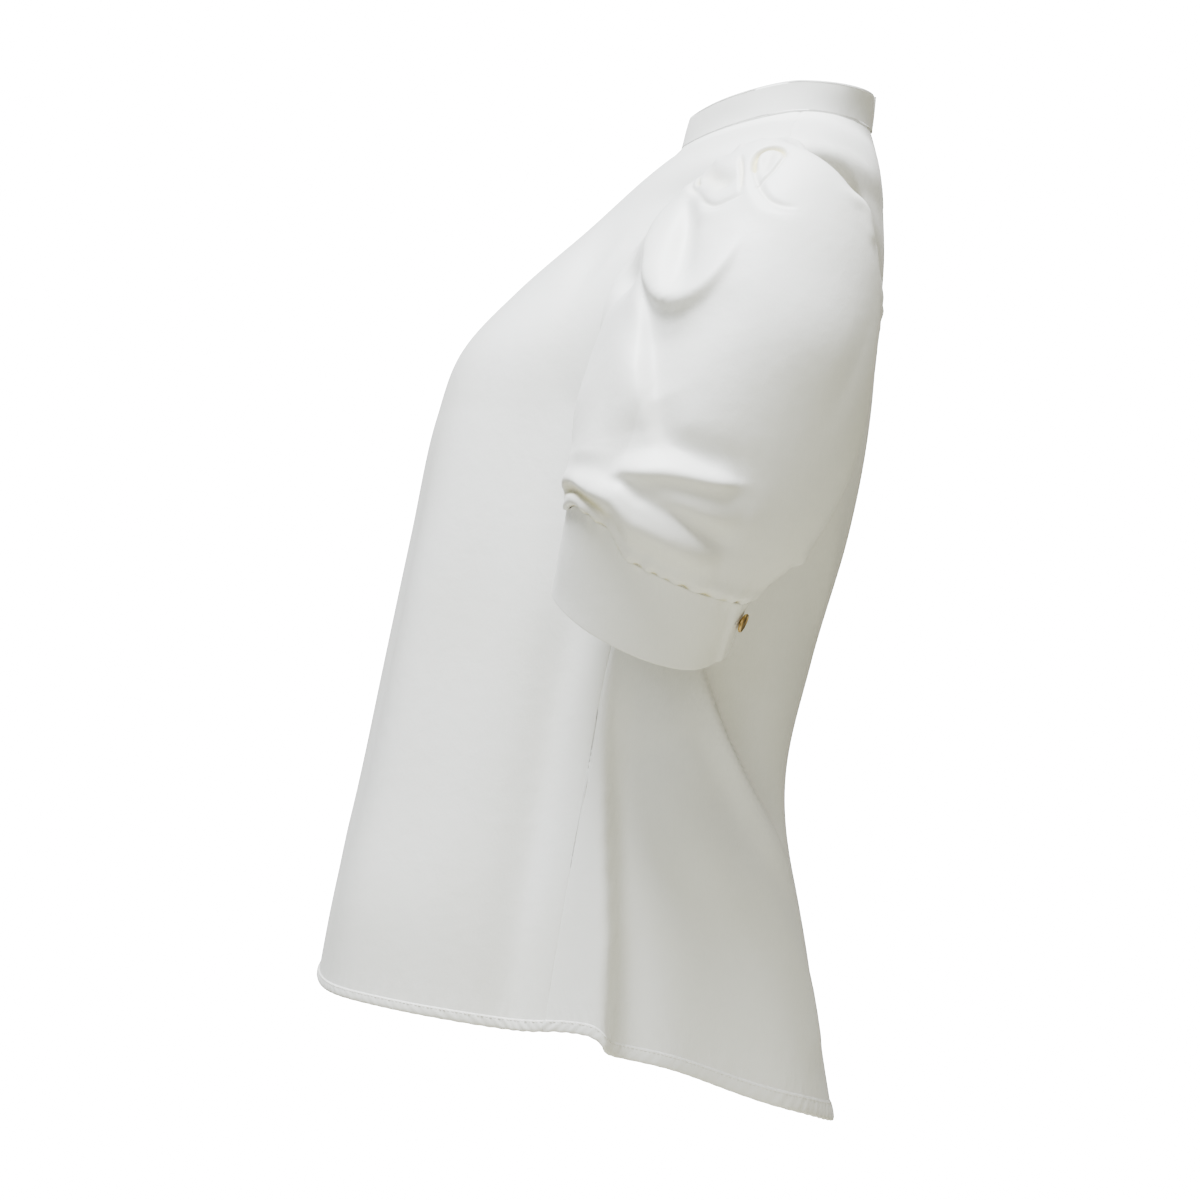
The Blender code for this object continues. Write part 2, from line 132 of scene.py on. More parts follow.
# Each row is a Crease. It runs through its points on the cloth: (turn, along or up, height). A height
# under 0 is a trough. "left" and "right" are how softly it falls away on each side of its direction of
# travel, seen from outside, and "lean" moves its crest towards the right, or the left if it is
# negative. The last column is how much painted shade, a dull yellow in the cloth's colour, lies along the
# crease: colour standing in for the shade and dim light deep inside it.
Crease = namedtuple("Crease", "name path left right lean tint", defaults=(0, 0))
SLEEVE_FORMS = (
    ("pouch of the front pleat", ((52, .10, 1), (58, .16, 3), (58, .24, 4), (52, .33, 6.5), (44, .405, 8.5),
        (35, .448, 9), (27, .462, 8), (20, .452, 6), (15, .42, 3.5), (12, .37, .5)), 15, 6, 2),
    ("hollow inside the pouch", ((43, .20, -3), (41, .27, -8), (37, .35, -8), (31, .42, -4)), 10, 7, 2),
    ("hollow in front of the pouch", ((84, .08, -4), (82, .18, -9), (74, .27, -9), (64, .33, -5)), 15, 12),
    ("hollow below the pouch", ((60, .385, -1), (52, .46, -2), (38, .52, -2), (22, .53, -2), (8, .49, -1)),
        10, 14),
    ("long fold", ((62, .29, 2), (52, .41, 4.5), (43, .52, 6), (37, .60, 6), (31, .67, 4), (27, .72, 1)),
        6, 24, -1),
    ("swell at the front of the sleeve", ((112, .74, 2), (94, .75, 7), (76, .755, 9), (58, .76, 9),
        (44, .762, 5.5), (33, .77, 1)), 42, 15),
    ("crease above the tongue", ((26, .655, -.8), (20, .70, -3.5), (11, .742, -5), (1, .757, -5),
        (-9, .766, -4.5), (-18, .769, -3), (-26, .769, -1), (-32, .768, -.2)), 11, 5),
    ("tongue of the long fold", ((38, .812, .5), (32, .812, 3.5), (26, .805, 6), (18, .796, 8),
        (10, .79, 8.5), (1, .788, 8.5), (-8, .788, 7.5), (-16, .785, 5.5), (-22, .777, 1.5)), 9, 7, 1),
    ("hollow beside the long fold", ((52, .36, -1), (43, .46, -3), (36, .55, -4), (30, .61, -4),
        (25, .65, -2)), 22, 7),
    ("shelf below the tongue", ((34, .835, 2), (18, .836, 7.5), (2, .84, 9), (-14, .845, 7.5),
        (-30, .846, 2)), 15, 10),
    ("crease above the lower fold", ((36, .842, -.5), (29, .842, -1.5), (21, .844, -3), (12, .848, -4),
        (3, .857, -4.2), (-5, .866, -4), (-13, .876, -3.5), (-24, .886, -2), (-32, .89, -.3)), 7, 4),
    ("lower fold", ((70, .878, 2.5), (58, .884, 6), (46, .888, 9), (36, .892, 11.5), (24, .896, 13.5),
        (12, .90, 14.5), (2, .905, 14), (-7, .912, 12.5), (-15, .918, 10), (-23, .919, 6), (-31, .912, 1)),
        14, 12),
    ("hollow above the curl", ((106, .79, -2), (94, .81, -2.5), (86, .82, -1)), 6, 6),
    ("curl", ((108, .86, 2), (96, .862, 4.5), (84, .862, 5.5), (71, .868, 5), (60, .879, 3),
        (51, .887, 1.5), (44, .895, .5)), 10, 6, 1),
    ("hollow under the curl", ((92, .895, -.4), (84, .9, -1.3), (75, .907, -1.8), (64, .92, -1.9),
        (53, .931, -2), (45, .932, -2), (38, .938, -1.8), (31, .95, -.8)), 5, 4, 0, 1),
    ("slope behind the shoulder", ((4, .075, -3), (-12, .105, -11), (-26, .13, -16), (-40, .155, -15),
        (-52, .195, -9), (-60, .23, -3)), 17, 13),
    ("corner of the cap", ((-36, .262, 1), (-46, .262, 4), (-54, .30, 2)), 6, 6),
    ("swell at the back of the sleeve", ((6, .50, 1), (-10, .51, 3.5), (-26, .52, 5.5), (-42, .53, 4.5),
        (-56, .54, 1.5)), 38, 40),
    ("long fold at the back", ((-96, .16, 1), (-104, .35, 4), (-112, .55, 6), (-116, .74, 5),
        (-110, .88, 2)), 8, 16),
    ("hollow at the back", ((-112, .22, -2), (-128, .42, -4), (-134, .62, -4), (-132, .8, -2)), 10, 12),
    ("lower fold at the back", ((-88, .868, 1), (-102, .868, 5), (-128, .885, 4), (-150, .91, 1)), 8, 5),
    ("small fold behind the arm", ((-74, .34, 1), (-81, .365, 3.5), (-87, .39, 3), (-95, .42, 1)),
        4.5, 3.5),
    ("fold inside the arm", ((118, .35, 1), (126, .55, 4), (130, .72, 4), (122, .85, 1)), 9, 13),
    ("lower fold inside the arm", ((136, .84, 1), (156, .85, 4), (178, .84, 4)), 7, 7),
)
SLEEVE_DETAILS = (
    ("line of the front scoop", ((47, .09, -1.5), (46, .14, -2.2), (39, .22, -2.4), (32, .265, -2.2),
        (26, .285, -1.9), (20, .286, -1.4), (15, .285, -.4)), 2.6, 0.9, 0, 0.15),
    ("rim of the front scoop", ((50, .12, .3), (46.5, .16, .9), (38.5, .243, 1.1), (31.5, .286, 1.1),
        (25, .303, .8), (18, .303, .2)), 2.2, 7),
    ("crease in the front scoop", ((43.5, .10, -1), (43, .135, -2.6), (41, .17, -1)), 1.1, 1.1, 0, 0.9),
    ("floor of the front scoop", ((40, .12, -2), (33, .19, -4), (26, .23, -3)), 7, 6, 0, 0.15),
    ("slit between the pleats", ((22, .165, -1), (20.7, .195, -3.8), (19, .225, -4), (17.2, .255, -2.4),
        (16, .275, -.5)), 2, 1, 0, 0.35),
    ("line of the back scoop", ((0, .205, -1.5), (2.5, .182, -3.4), (6, .169, -4.2), (10, .167, -4.6),
        (13.6, .178, -4.8), (14.6, .205, -4), (13.6, .228, -2.5)), 2.4, 1, 0, 1),
    ("side of the back scoop", ((14.4, .21, -1), (12.4, .24, -2), (7.5, .281, -2), (1, .311, -1.7),
        (-5, .322, -1), (-10, .324, -.2)), 2.6, 0.9, 0, 0.12),
    ("floor of the back scoop", ((7, .188, -1.6), (8, .212, -2.6), (8, .236, -1.6)), 4, 4, 0, 0.12),
    ("edge over the back scoop", ((-1, .196, -.6), (2.5, .232, -2.6), (6.8, .262, -2.2), (9.5, .278, -.6)),
        1, 1, 0, 0.2),
    ("rim below the back scoop", ((17.5, .21, .3), (16, .245, .8), (10, .296, 1), (2.5, .33, .9),
        (-6, .343, .5), (-13, .342, .1)), 2.2, 7),
    ("dark line inside the curl", ((86, .893, -.3), (78, .90, -.5), (66, .915, -.6), (53, .929, -.7),
        (45, .927, -.8), (39, .932, -1), (33, .944, -1), (29, .954, -.5)), 2, 2, 0, 2),
    ("lip of the curl", ((100, .875, .6), (93, .895, 1.8), (84, .918, 2.6), (74, .937, 3), (61, .956, 3),
        (50, .96, 2.6), (41, .96, 2.2), (34, .964, 1.4), (29, .972, .6)), 3, 4),
    ("shade under the lip", ((56, .984, -.6), (46, .984, -1.6), (37, .984, -1.8), (29, .988, -.8)),
        2.6, 3, 0, 1.4),
    ("first pleat", ((53, .015, .5), (51, .06, 1.2), (49, .12, .3)), 2.6, 3.4),
    ("second pleat", ((37, .015, .6), (36, .07, 1.3), (33, .12, .3)), 2.6, 3.2),
    ("third pleat", ((24.5, .015, .6), (24, .07, 1.3), (23, .12, .3)), 2.2, 2.8),
    ("fourth pleat", ((14, .015, .6), (14, .06, 1.2), (16, .12, .3)), 2.4, 2.8),
    ("fifth pleat", ((3, .015, .5), (2, .07, 1.1), (-1, .12, .3)), 3, 3.4),
    ("behind the first pleat", ((45, .015, -.6), (44, .07, -1), (41, .11, -.3)), 2.4, 2.4),
    ("behind the second pleat", ((30, .015, -.6), (29.5, .07, -1), (28, .11, -.3)), 2.2, 2.2),
    ("behind the fourth pleat", ((8.5, .015, -.6), (8, .07, -1), (8, .11, -.3)), 2.2, 2.2),
)
LEFT_BODY_CREASES = (
    ("dent in front of the arm", ((34, 520, -1), (50, 480, -4), (60, 440, -4), (68, 390, -2)), 22, 16),
    ("soft fold from the bust", ((30, 380, 1), (36, 260, 2.5), (40, 130, 2), (41, -6, 1.5)), 26, 30),
    ("soft hollow beside it", ((58, 360, -1), (56, 240, -2.5), (54, 120, -2), (53, -6, -1.5)), 20, 24),
    ("hollow before the side seam", ((80, 300, -1), (81, 220, -4), (81.5, 170, -6), (82, 104, -6.5),
        (82, 40, -5.5), (82, -6, -5)), 10, 16),
    ("fold behind the side seam", ((90, 240, 1), (92.2, 172, 5), (95.6, 112, 9), (98.6, 56, 12),
        (100, -4, 14)), 4, 22, -1),
    ("hollow behind the side fold", ((96, 245, -1), (98, 172, -3.5), (100.4, 100, -6), (103.2, 40, -7),
        (104.2, -4, -7)), 20, 8),
    ("slanting hollow", ((102, 228, -1), (108, 200, -3), (114.5, 168, -4), (121, 138, -4), (128, 110, -3.5),
        (135, 86, -3), (142, 62, -2.5), (148, 42, -1)), 9, 9, 0, 0.08),
    ("swell between the folds", ((105, 168, 2), (111, 138, 6), (117, 108, 8.5), (123, 84, 8), (128, 60, 7),
        (132, 30, 6), (134, -4, 5)), 24, 20),
    ("fullness of the flare", ((125, 150, 1), (128, 125, 5), (132, 106, 8), (137, 82, 7), (141, 58, 5),
        (144, 30, 3)), 15, 18),
    ("edge of the flare", ((101, 256, 1), (107, 226, 5), (112, 201, 8.5), (117, 178, 9.5), (122, 158, 8.5),
        (128, 136, 5), (137, 108, 1)), 5, 20, -2),
    ("hollow behind the flare", ((106, 262, -2), (112, 228, -7), (117, 202, -11), (122, 180, -12),
        (127.5, 159, -10), (134, 137, -6), (144, 108, -1)), 26, 8.5, 0, 0.12),
    ("swell behind the shoulder", ((98, 540, 2), (106, 530, 8), (116, 520, 12), (128, 512, 12),
        (140, 500, 8), (152, 490, 3)), 30, 34),
    ("hollow under the shoulder line", ((100, 582, -.5), (114, 584, -2.5), (130, 588, -3), (146, 590, -1)),
        14, 14),
    ("fold across the back", ((128, 440, 1), (145, 424, 2.5), (168, 430, 1)), 16, 14),
    ("soft drop of the back", ((136, 400, 1), (140, 330, 3), (150, 260, 2)), 18, 20),
)
FRONT_CREASES = (
    ("fold down the front", ((10, 400, .5), (9, 260, 1), (7, 110, 1)), 24, 24),
    ("hollow down the front", ((18, 330, -1), (20, 200, -3), (19, 80, -2)), 22, 22),
    ("hollow on the other side", ((-17, 340, -1), (-21, 210, -2.5), (-23, 80, -2.5)), 20, 24),
)

# -------------------- shapes


def named_rows(columns, rows):
    """Each row as a dictionary of its named columns."""
    return [dict(zip(columns.split(), row)) for row in rows]


def named_columns(columns, rows):
    """Each named column as an array."""
    return dict(zip(columns.split(), np.array(rows, float).T))


BODY = named_columns(BODY_COLUMNS, BODY_ROWS)
BODY_FOLDS = named_rows(BODY_FOLD_COLUMNS, BODY_FOLD_ROWS)
ARMHOLE = named_rows(ARMHOLE_COLUMNS, ARMHOLE_ROWS)
SLEEVE = named_columns(SLEEVE_COLUMNS, SLEEVE_ROWS)
CUFF_EDGE = named_rows(SLEEVE_COLUMNS, (CUFF_EDGE_ROW,))[0]
RAILS = ("top", "front", "under", "back")


def smooth_through(at, knots, values):
    """A smooth curve through the values at the knots, read at each place in at."""
    slopes = np.gradient(values, knots)
    place = np.clip(np.searchsorted(knots, at, side="right") - 1, 0, len(knots) - 2)
    step = knots[place + 1] - knots[place]
    t = (at - knots[place]) / step
    low, high = values[place], values[place + 1]
    return (
        low * (1 + 2 * t) * (1 - t) ** 2
        + high * t**2 * (3 - 2 * t)
        + step * slopes[place] * t * (1 - t) ** 2
        - step * slopes[place + 1] * t**2 * (1 - t)
    )


def smooth_step(x):
    x = np.clip(x, 0.0, 1.0)
    return x * x * (3 - 2 * x)


def bell(distance, width):
    return np.exp(-((distance / width) ** 2))


def oval(turn, side, front, back, front_power=2.0, back_power=2.0, square=0.0):
    """Points round the body at one level, from where its side and its middle front and back lie."""
    angle = np.radians(turn)
    sideways = (np.sin(angle) + square * np.sin(3 * angle)) / (1 - square)
    forward = (np.cos(angle) - square * np.cos(3 * angle)) / (1 - square)
    ahead = forward >= 0
    share = np.abs(forward)
    y = side[1] + share * (np.where(ahead, front[0], back[0]) - side[1])
    drop = np.where(ahead, share**front_power, share**back_power)
    z = side[2] + drop * (np.where(ahead, front[1], back[1]) - side[2])
    return np.stack([side[0] * sideways, y, z], axis=-1)


def body_point(turn, up):
    """The outer surface of the body, with its vertical folds."""
    turn, up = np.broadcast_arrays(np.asarray(turn, float), np.asarray(up, float))
    level = {name: smooth_through(up, BODY["up"], BODY[name]) for name in BODY}
    points = oval(
        turn,
        (level["side_x"], level["side_y"], level["side_z"]),
        (level["front_y"], level["front_z"]),
        (level["back_y"], level["back_z"]),
        level["front_power"],
        level["back_power"],
        level["square"],
    )
    angle = np.radians(turn)
    outward = np.stack([np.sin(angle), -np.cos(angle), np.zeros_like(angle)], axis=-1)
    for fold in BODY_FOLDS:
        fade = np.clip(1 - up / fold["up_top"], 0, 1)
        middle = fold["turn_top"] + (fold["turn_hem"] - fold["turn_top"]) * fade
        away = (np.abs(turn) - middle) / fold["width"]
        size = np.exp(-0.5 * away**2) * fade**BODY_FOLD_SWELL * np.where(turn < 0, RIGHT_FOLD_SHARE, 1.0)
        points = points + fold["out"] * size[..., None] * outward
        points[..., 2] -= fold["drop"] * size
    return points


def armhole_edge(round_arm, inset=0.0):
    """The armhole seam as turn and height, moved in by the inset."""
    angle = np.radians(round_arm)
    shrink = 1 - inset / ARMHOLE_HALF
    rise, forward = np.cos(angle), np.sin(angle)
    front, back = (half["width"] * (1 + half["lean"] * rise) for half in ARMHOLE)
    turn = 90 - np.where(forward > 0, front, back) * shrink * forward
    return turn, ARMHOLE_MIDDLE + ARMHOLE_HALF * shrink * rise


def armhole_reach(up, side):
    """How many degrees the armhole reaches from the side line at each height. side is 1 in front."""
    rise = np.clip((up - ARMHOLE_MIDDLE) / ARMHOLE_HALF, -1, 1)
    return np.abs(armhole_edge(side * np.degrees(np.arccos(rise)))[0] - 90)


def ring_through(round_arm, rails):
    """A smooth ring round the arm through its points over the top, front, underside and back."""
    angle = np.radians(round_arm)[..., None]
    top, front, under, back = rails
    middle = (top + under) / 2
    across = (front + back) / 2
    return (
        middle
        + (top - under) / 2 * np.cos(angle)
        + (across - middle) * np.sin(angle) ** 2
        + (front - back) / 2 * np.sin(angle)
    )


def unit(vectors):
    return vectors / np.linalg.norm(vectors, axis=-1, keepdims=True)


def sleeve_rails(along):
    return [
        np.stack(
            [smooth_through(along, SLEEVE["along"], SLEEVE[f"{rail}_{axis}"]) for axis in "xyz"],
            axis=-1,
        )
        for rail in RAILS
    ]


def sleeve_point(round_arm, along):
    """The outer surface of the left sleeve, without its creases."""
    round_arm, along = np.broadcast_arrays(np.asarray(round_arm, float), np.asarray(along, float))
    ring = ring_through(round_arm, sleeve_rails(along))
    first = ring_through(round_arm, sleeve_rails(np.zeros_like(along)))
    seam = body_point(*armhole_edge(round_arm, -ARMHOLE_LAP))
    return ring + (seam - first) * (1 - smooth_step(along / ARMHOLE_BLEND))[..., None]


def cuff_rings(round_arm):
    """The cuff's lower and upper edge, and how its seam with the sleeve climbs in front."""
    edge = [np.array([CUFF_EDGE[f"{rail}_{axis}"] for axis in "xyz"], float) for rail in RAILS]
    lower = ring_through(round_arm, edge)
    upper = ring_through(round_arm, sleeve_rails(np.ones_like(round_arm)))
    climb = CUFF_CLIMB * smooth_step((round_arm - 14) / 14) * (1 - smooth_step((round_arm - 55) / 35))
    return lower, upper, unit(upper - lower) * climb[..., None]


def outward_normals(points):
    """The normal at each point of a grid of rows and columns, facing away from the hollow."""
    normals = np.cross(np.gradient(points, axis=1), np.gradient(points, axis=0))
    normals /= np.maximum(np.linalg.norm(normals, axis=-1, keepdims=True), 1e-9)
    away = points - points.mean(axis=1, keepdims=True)
    return normals * np.sign(np.sum(normals * away))


def raised(points, height):
    """The grid of points moved out by each one's height."""
    return points + outward_normals(points) * height[..., None]


# -------------------- creases on a surface


def varied(creases, size, turn_shift, place_shift):
    """The same creases as they fall on the other side: alike, but each a little elsewhere."""
    moved = []
    for number, (name, path, left, right, *rest) in enumerate(creases):
        grown = size * (1 + 0.15 * math.sin(3.3 * number))
        turned = turn_shift * math.sin(2.1 * number + 0.7)
        path = [
            (turn + turned, place + place_shift * math.sin(1.7 * number), height * grown)
            for turn, place, height in path
        ]
        moved.append((name, path, left, right, *rest))
    return moved


def mirrored(creases):
    """The same creases on the other side, where left and right change places."""
    return [
        (name, [(-turn, place, height) for turn, place, height in path], right, left, -lean, tint)
        for name, path, left, right, lean, tint in (Crease(*row) for row in creases)
    ]


RIGHT_BODY_CREASES = mirrored(varied(LEFT_BODY_CREASES, 0.85, 2.0, 9.0))
BODY_CREASES = (*LEFT_BODY_CREASES, *RIGHT_BODY_CREASES, *FRONT_CREASES)


def crease_line(surface, path):
    """A crease's points on the bare surface, and its height at each."""
    path = np.array(path, float)
    knots = surface(path[:, 0], path[:, 1])
    knots = np.concatenate([[0], np.cumsum(np.linalg.norm(np.diff(knots, axis=0), axis=-1))])
    fine = np.linspace(0, knots[-1], 44)
    turn, place, height = (smooth_through(fine, knots, column) for column in path.T)
    return surface(turn, place), height


def with_creases(points, surface, creases):
    """The grid of points with its creases raised or sunk, and how much painted shade each point gets."""
    normals = outward_normals(points).reshape(-1, 3)
    bare = points.reshape(-1, 3)
    moved, painted_shade_amount = bare.copy(), np.zeros(len(bare))
    for _, path, left, right, lean, tint in (Crease(*row) for row in creases):
        line, height = crease_line(surface, path)
        margin = 2.7 * max(left, right)
        near = np.flatnonzero(
            np.all((bare > line.min(axis=0) - margin) & (bare < line.max(axis=0) + margin), axis=1)
        )
        here, facing = bare[near], normals[near]
        run = np.diff(line, axis=0)
        offset = here[:, None] - line[None, :-1]
        share = np.clip(np.einsum("psk,sk->ps", offset, run) / np.sum(run * run, axis=-1), 0, 1)
        gap = offset - share[..., None] * run
        distance = np.einsum("psk,psk->ps", gap, gap)
        closest = np.argmin(distance, axis=1)
        each = np.arange(len(near))
        share, gap, away = share[each, closest], gap[each, closest], np.sqrt(distance[each, closest])
        leftward = np.cross(facing, run[closest])
        leftward /= np.maximum(np.linalg.norm(leftward, axis=-1, keepdims=True), 1e-9)
        side = np.sum(leftward * gap, axis=-1) / np.maximum(away, 1e-9)
        width = (left + right) / 2 + side * (left - right) / 2
        size = bell(away, width)
        tall = height[closest] * (1 - share) + height[closest + 1] * share
        moved[near] += facing * (tall * size)[:, None] - leftward * (lean * size)[:, None]
        # painted shade: the crease's dull yellow, strongest where it is deepest, in place of the shade
        # inside it
        painted_shade_amount[near] = np.maximum(painted_shade_amount[near], tint * size * np.clip(np.abs(tall) / 3, 0, 1))
    return moved.reshape(points.shape), painted_shade_amount.reshape(points.shape[:2])


def waves(first, second, size, seed):
    """Slow, uneven swells over two directions, so that no large area is quite smooth."""
    chance = np.random.default_rng(seed)
    total = np.zeros(np.broadcast(first, second).shape)
    for _ in range(9):
        way, phase = chance.uniform(0, math.pi), chance.uniform(0, math.tau)
        pace = chance.uniform(0.6, 1.9)
        place = first * math.cos(way) + second * math.sin(way)
        total = total + np.sin(math.tau * pace * place + phase) / pace
    return total * size / 3


# -------------------- cloth as closed shells

EDGE_STEPS = np.array([0.04, 0.14, 0.3, 0.5, 0.8, 1.3])  # mm from a cut edge, so that it is rounded


def placed(name, data):
    """An object with this mesh, light or camera, in the scene."""
    made = bpy.data.objects.new(name, data)
    bpy.context.scene.collection.objects.link(made)
    return made


def plain_mesh(name, shape):
    """The shape as a mesh, and the shape is done with."""
    mesh = bpy.data.meshes.new(name)
    shape.to_mesh(mesh)
    shape.free()
    return mesh


def as_cloth(mesh, flat, tint, pucker):
    """The mesh as smooth satin, with its UV map in metres and two values for each point.

    The first of the two is the painted shade: how much dull yellow is painted into a deep crease or
    gather valley in place of the shade there. pucker is how much the stitching of a nearby seam or hem draws
    it in.
    """
    # painted shade and pucker, stored on each point for the satin to read
    for label, values in (("tint", tint), ("pucker", pucker)):
        mesh.attributes.new(label, "FLOAT", "POINT").data.foreach_set("value", values.astype(np.float32))
    corners = np.empty(len(mesh.loops), np.int32)
    mesh.loops.foreach_get("vertex_index", corners)
    mesh.uv_layers.new(name="cloth").data.foreach_set("uv", flat[corners].ravel())
    mesh.shade_smooth()
    mesh.materials.append(SATIN)
    return placed(mesh.name, mesh)


def steps_between(knots, counts, unit):
    """Places from the first knot to the last, with so many steps in each stretch.

    There are close steps at both ends. unit is how many millimetres one unit of the place is.
    """
    inner = [np.linspace(a, b, n, endpoint=False) for a, b, n in zip(knots, knots[1:], counts)]
    inner = np.append(np.concatenate(inner), knots[-1])
    close = EDGE_STEPS / unit
    return np.concatenate([inner[:1], inner[0] + close, inner[1:-1], inner[-1] - close[::-1], inner[-1:]])


def running_length(points, axis):
    steps = np.linalg.norm(np.diff(points, axis=axis), axis=-1)
    first = np.zeros_like(np.take(steps, [0], axis=axis))
    return np.concatenate([first, np.cumsum(steps, axis=axis)], axis=axis)


def cloth_shell(name, outer, wall, pull, painted_shade_amount=0.0):
    """A thin closed shell on a grid of outer points, in millimetres, with half-round edges."""
    normals = outward_normals(outer)
    rows, columns = outer.shape[:2]
    down, over = running_length(outer, 0), running_length(outer, 1)
    edge = np.minimum.reduce([down, down[-1] - down, over, over[:, -1:] - over])
    swell = np.sqrt(1 - (1 - np.clip(edge / (wall / 2), 0, 1)) ** 2)[..., None]
    skins = [outer - normals * wall / 2 * (1 + way * swell) for way in (-1, 1)]
    outside = np.arange(rows * columns).reshape(rows, columns)
    inside = outside + rows * columns
    border = np.ones((rows, columns), bool)
    border[1:-1, 1:-1] = False
    inside[border] = outside[border]
    points = np.concatenate([skin.reshape(-1, 3) for skin in skins])
    faces = []
    row, column = rows // 2, columns // 2
    middle = outer[row, column]
    grid = np.cross(outer[row, column + 1] - middle, outer[row + 1, column] - middle)
    forward = float(grid @ normals[row, column]) > 0
    for index, keep in ((outside, forward), (inside, not forward)):
        quads = np.stack([index[:-1, :-1], index[:-1, 1:], index[1:, 1:], index[1:, :-1]], axis=-1)
        faces.append((quads if keep else quads[..., ::-1]).reshape(-1, 4))
    faces = np.concatenate(faces)
    used = np.zeros(len(points), bool)
    used[faces] = True
    renumber = np.cumsum(used) - 1
    mesh = bpy.data.meshes.new(name)
    mesh.from_pydata(points[used] * MM, [], renumber[faces].tolist())

    def on_both_skins(values):
        values = np.broadcast_to(values, (rows, columns)).ravel()
        return np.concatenate([values, values])[used].astype(np.float32)

    centre = over[:, columns // 2][:, None]
    flat = np.stack([on_both_skins((over - centre) * MM), on_both_skins(down * MM)], axis=-1)
    # painted shade and pucker for each point, the same on both skins
    made = as_cloth(mesh, flat, on_both_skins(painted_shade_amount), on_both_skins(pull))
    cells = np.cross(outer[1:, :-1] - outer[:-1, :-1], outer[:-1, 1:] - outer[:-1, :-1])
    made["cloth_area"] = float(np.sum(np.linalg.norm(cells, axis=-1))) * MM * MM
    return made


# -------------------- materials


class Wire:
    """One socket of a node tree: sums and products on it add the Math nodes that they need."""

    def __init__(self, tree, socket):
        self.tree, self.socket = tree, socket

    def maths(self, operation, *values):
        inputs = dict(enumerate(values))
        return Look.add(self.tree, "ShaderNodeMath", {"operation": operation}, inputs, "Value")

    def __add__(self, other):
        return self.maths("ADD", self, other)

    def __sub__(self, other):
        return self.maths("SUBTRACT", self, other)

    def __rsub__(self, other):
        return self.maths("SUBTRACT", other, self)

    def __mul__(self, other):
        return self.maths("MULTIPLY", self, other)

    def clipped(self):
        return self.maths("MINIMUM", self.maths("MAXIMUM", self, 0.0), 1.0)

    def wave(self):
        return self.maths("SINE", self)

    __radd__ = __add__
    __rmul__ = __mul__


class Look:
    """A material that is built node by node and ends in one Principled shader."""

    def __init__(self, name, **constants):
        self.material = bpy.data.materials.new(name)
        self.material.use_nodes = True
        self.tree = self.material.node_tree
        self.shader = self.tree.nodes["Principled BSDF"]
        for label, value in constants.items():
            self.shader.inputs[label.replace("_", " ")].default_value = value

    @staticmethod
    def add(tree, kind, settings=(), inputs=(), output=0):
        node = tree.nodes.new(kind)
        for label, value in dict(settings).items():
            setattr(node, label, value)
        for label, value in dict(inputs).items():
            if isinstance(value, Wire):
                tree.links.new(value.socket, node.inputs[label])
            else:
                node.inputs[label].default_value = value
        return Wire(tree, node.outputs[output])

    def node(self, kind, settings=(), inputs=(), output=0):
        return self.add(self.tree, kind, settings, inputs, output)

    def place(self):
        return self.node("ShaderNodeTexCoord", {}, {}, "Object")

    def noise(self, place, scale, detail=2.0):
        inputs = {"Vector": place, "Scale": scale, "Detail": detail, "Roughness": 0.5}
        return self.node("ShaderNodeTexNoise", {}, inputs, "Fac")

    def attribute(self, label):
        return self.node("ShaderNodeAttribute", {"attribute_name": label}, {}, "Fac")

    def blended(self, share, first, second):
        inputs = {0: share, 6: first, 7: second}
        return self.node("ShaderNodeMix", {"data_type": "RGBA"}, inputs, 2)

    def bump(self, height, distance, strength=1.0, under=None):
        inputs = {"Height": height, "Distance": distance, "Strength": strength}
        if under:
            inputs["Normal"] = under
        return self.node("ShaderNodeBump", {}, inputs)

    def finish(self, **wires):
        for label, wire in wires.items():
            self.tree.links.new(wire.socket, self.shader.inputs[label.replace("_", " ")])
        return self.material


WHITE = (0.845, 0.848, 0.84, 1.0)
WARM_WHITE = (0.80, 0.795, 0.755, 1.0)
# the dull dark yellow of the painted shade in deep creases and gather valleys
FOLD_SHADE = (0.62, 0.56, 0.27, 1.0)


def satin():
    """Heavy off-white satin: a soft gloss, a fine slanting weave, a faint pebble, and painted shade, a dull
    yellow, in its deep creases.
    """
    look = Look(
        "ivory satin",
        IOR=1.45,
        Specular_IOR_Level=0.42,
        Sheen_Weight=0.12,
        Sheen_Roughness=0.45,
        Sheen_Tint=(1.0, 0.99, 0.96, 1.0),
    )
    place = look.place()
    flat = look.node("ShaderNodeUVMap", {"uv_map": "cloth"})
    parts = look.node("ShaderNodeSeparateXYZ", {}, {0: flat})
    across, along = parts, Wire(look.tree, parts.socket.node.outputs["Y"])
    tint, pucker = look.attribute("tint"), look.attribute("pucker")
    cloudy = look.noise(place, 9.0, 3.0)
    pebble = look.noise(place, 620.0, 2.0)
    colour = look.blended((cloudy * 1.5 - 0.35).clipped(), WHITE, WARM_WHITE)
    # painted shade: crease and gather shade painted into the colour as a dull yellow
    colour = look.blended(tint.clipped(), colour, FOLD_SHADE)
    stretched = look.node("ShaderNodeCombineXYZ", {}, {0: across, 1: along * 0.28, 2: 0.0})
    drawn = look.noise(stretched, 150.0, 1.0)
    weave = ((across + along * 0.5) * 9000.0).wave() * ((along - across * 0.12) * 5200.0).wave()
    normal = look.bump(drawn * pucker, 0.0016, 1.0)
    normal = look.bump(look.noise(place, 95.0, 2.0), 0.00035, 0.8, normal)
    normal = look.bump(pebble, 0.00007, 0.8, normal)
    normal = look.bump(weave, 0.000012, 0.7, normal)
    return look.finish(
        Base_Color=colour, Roughness=0.37 + cloudy * 0.1 + pebble * 0.04, Normal=normal
    )


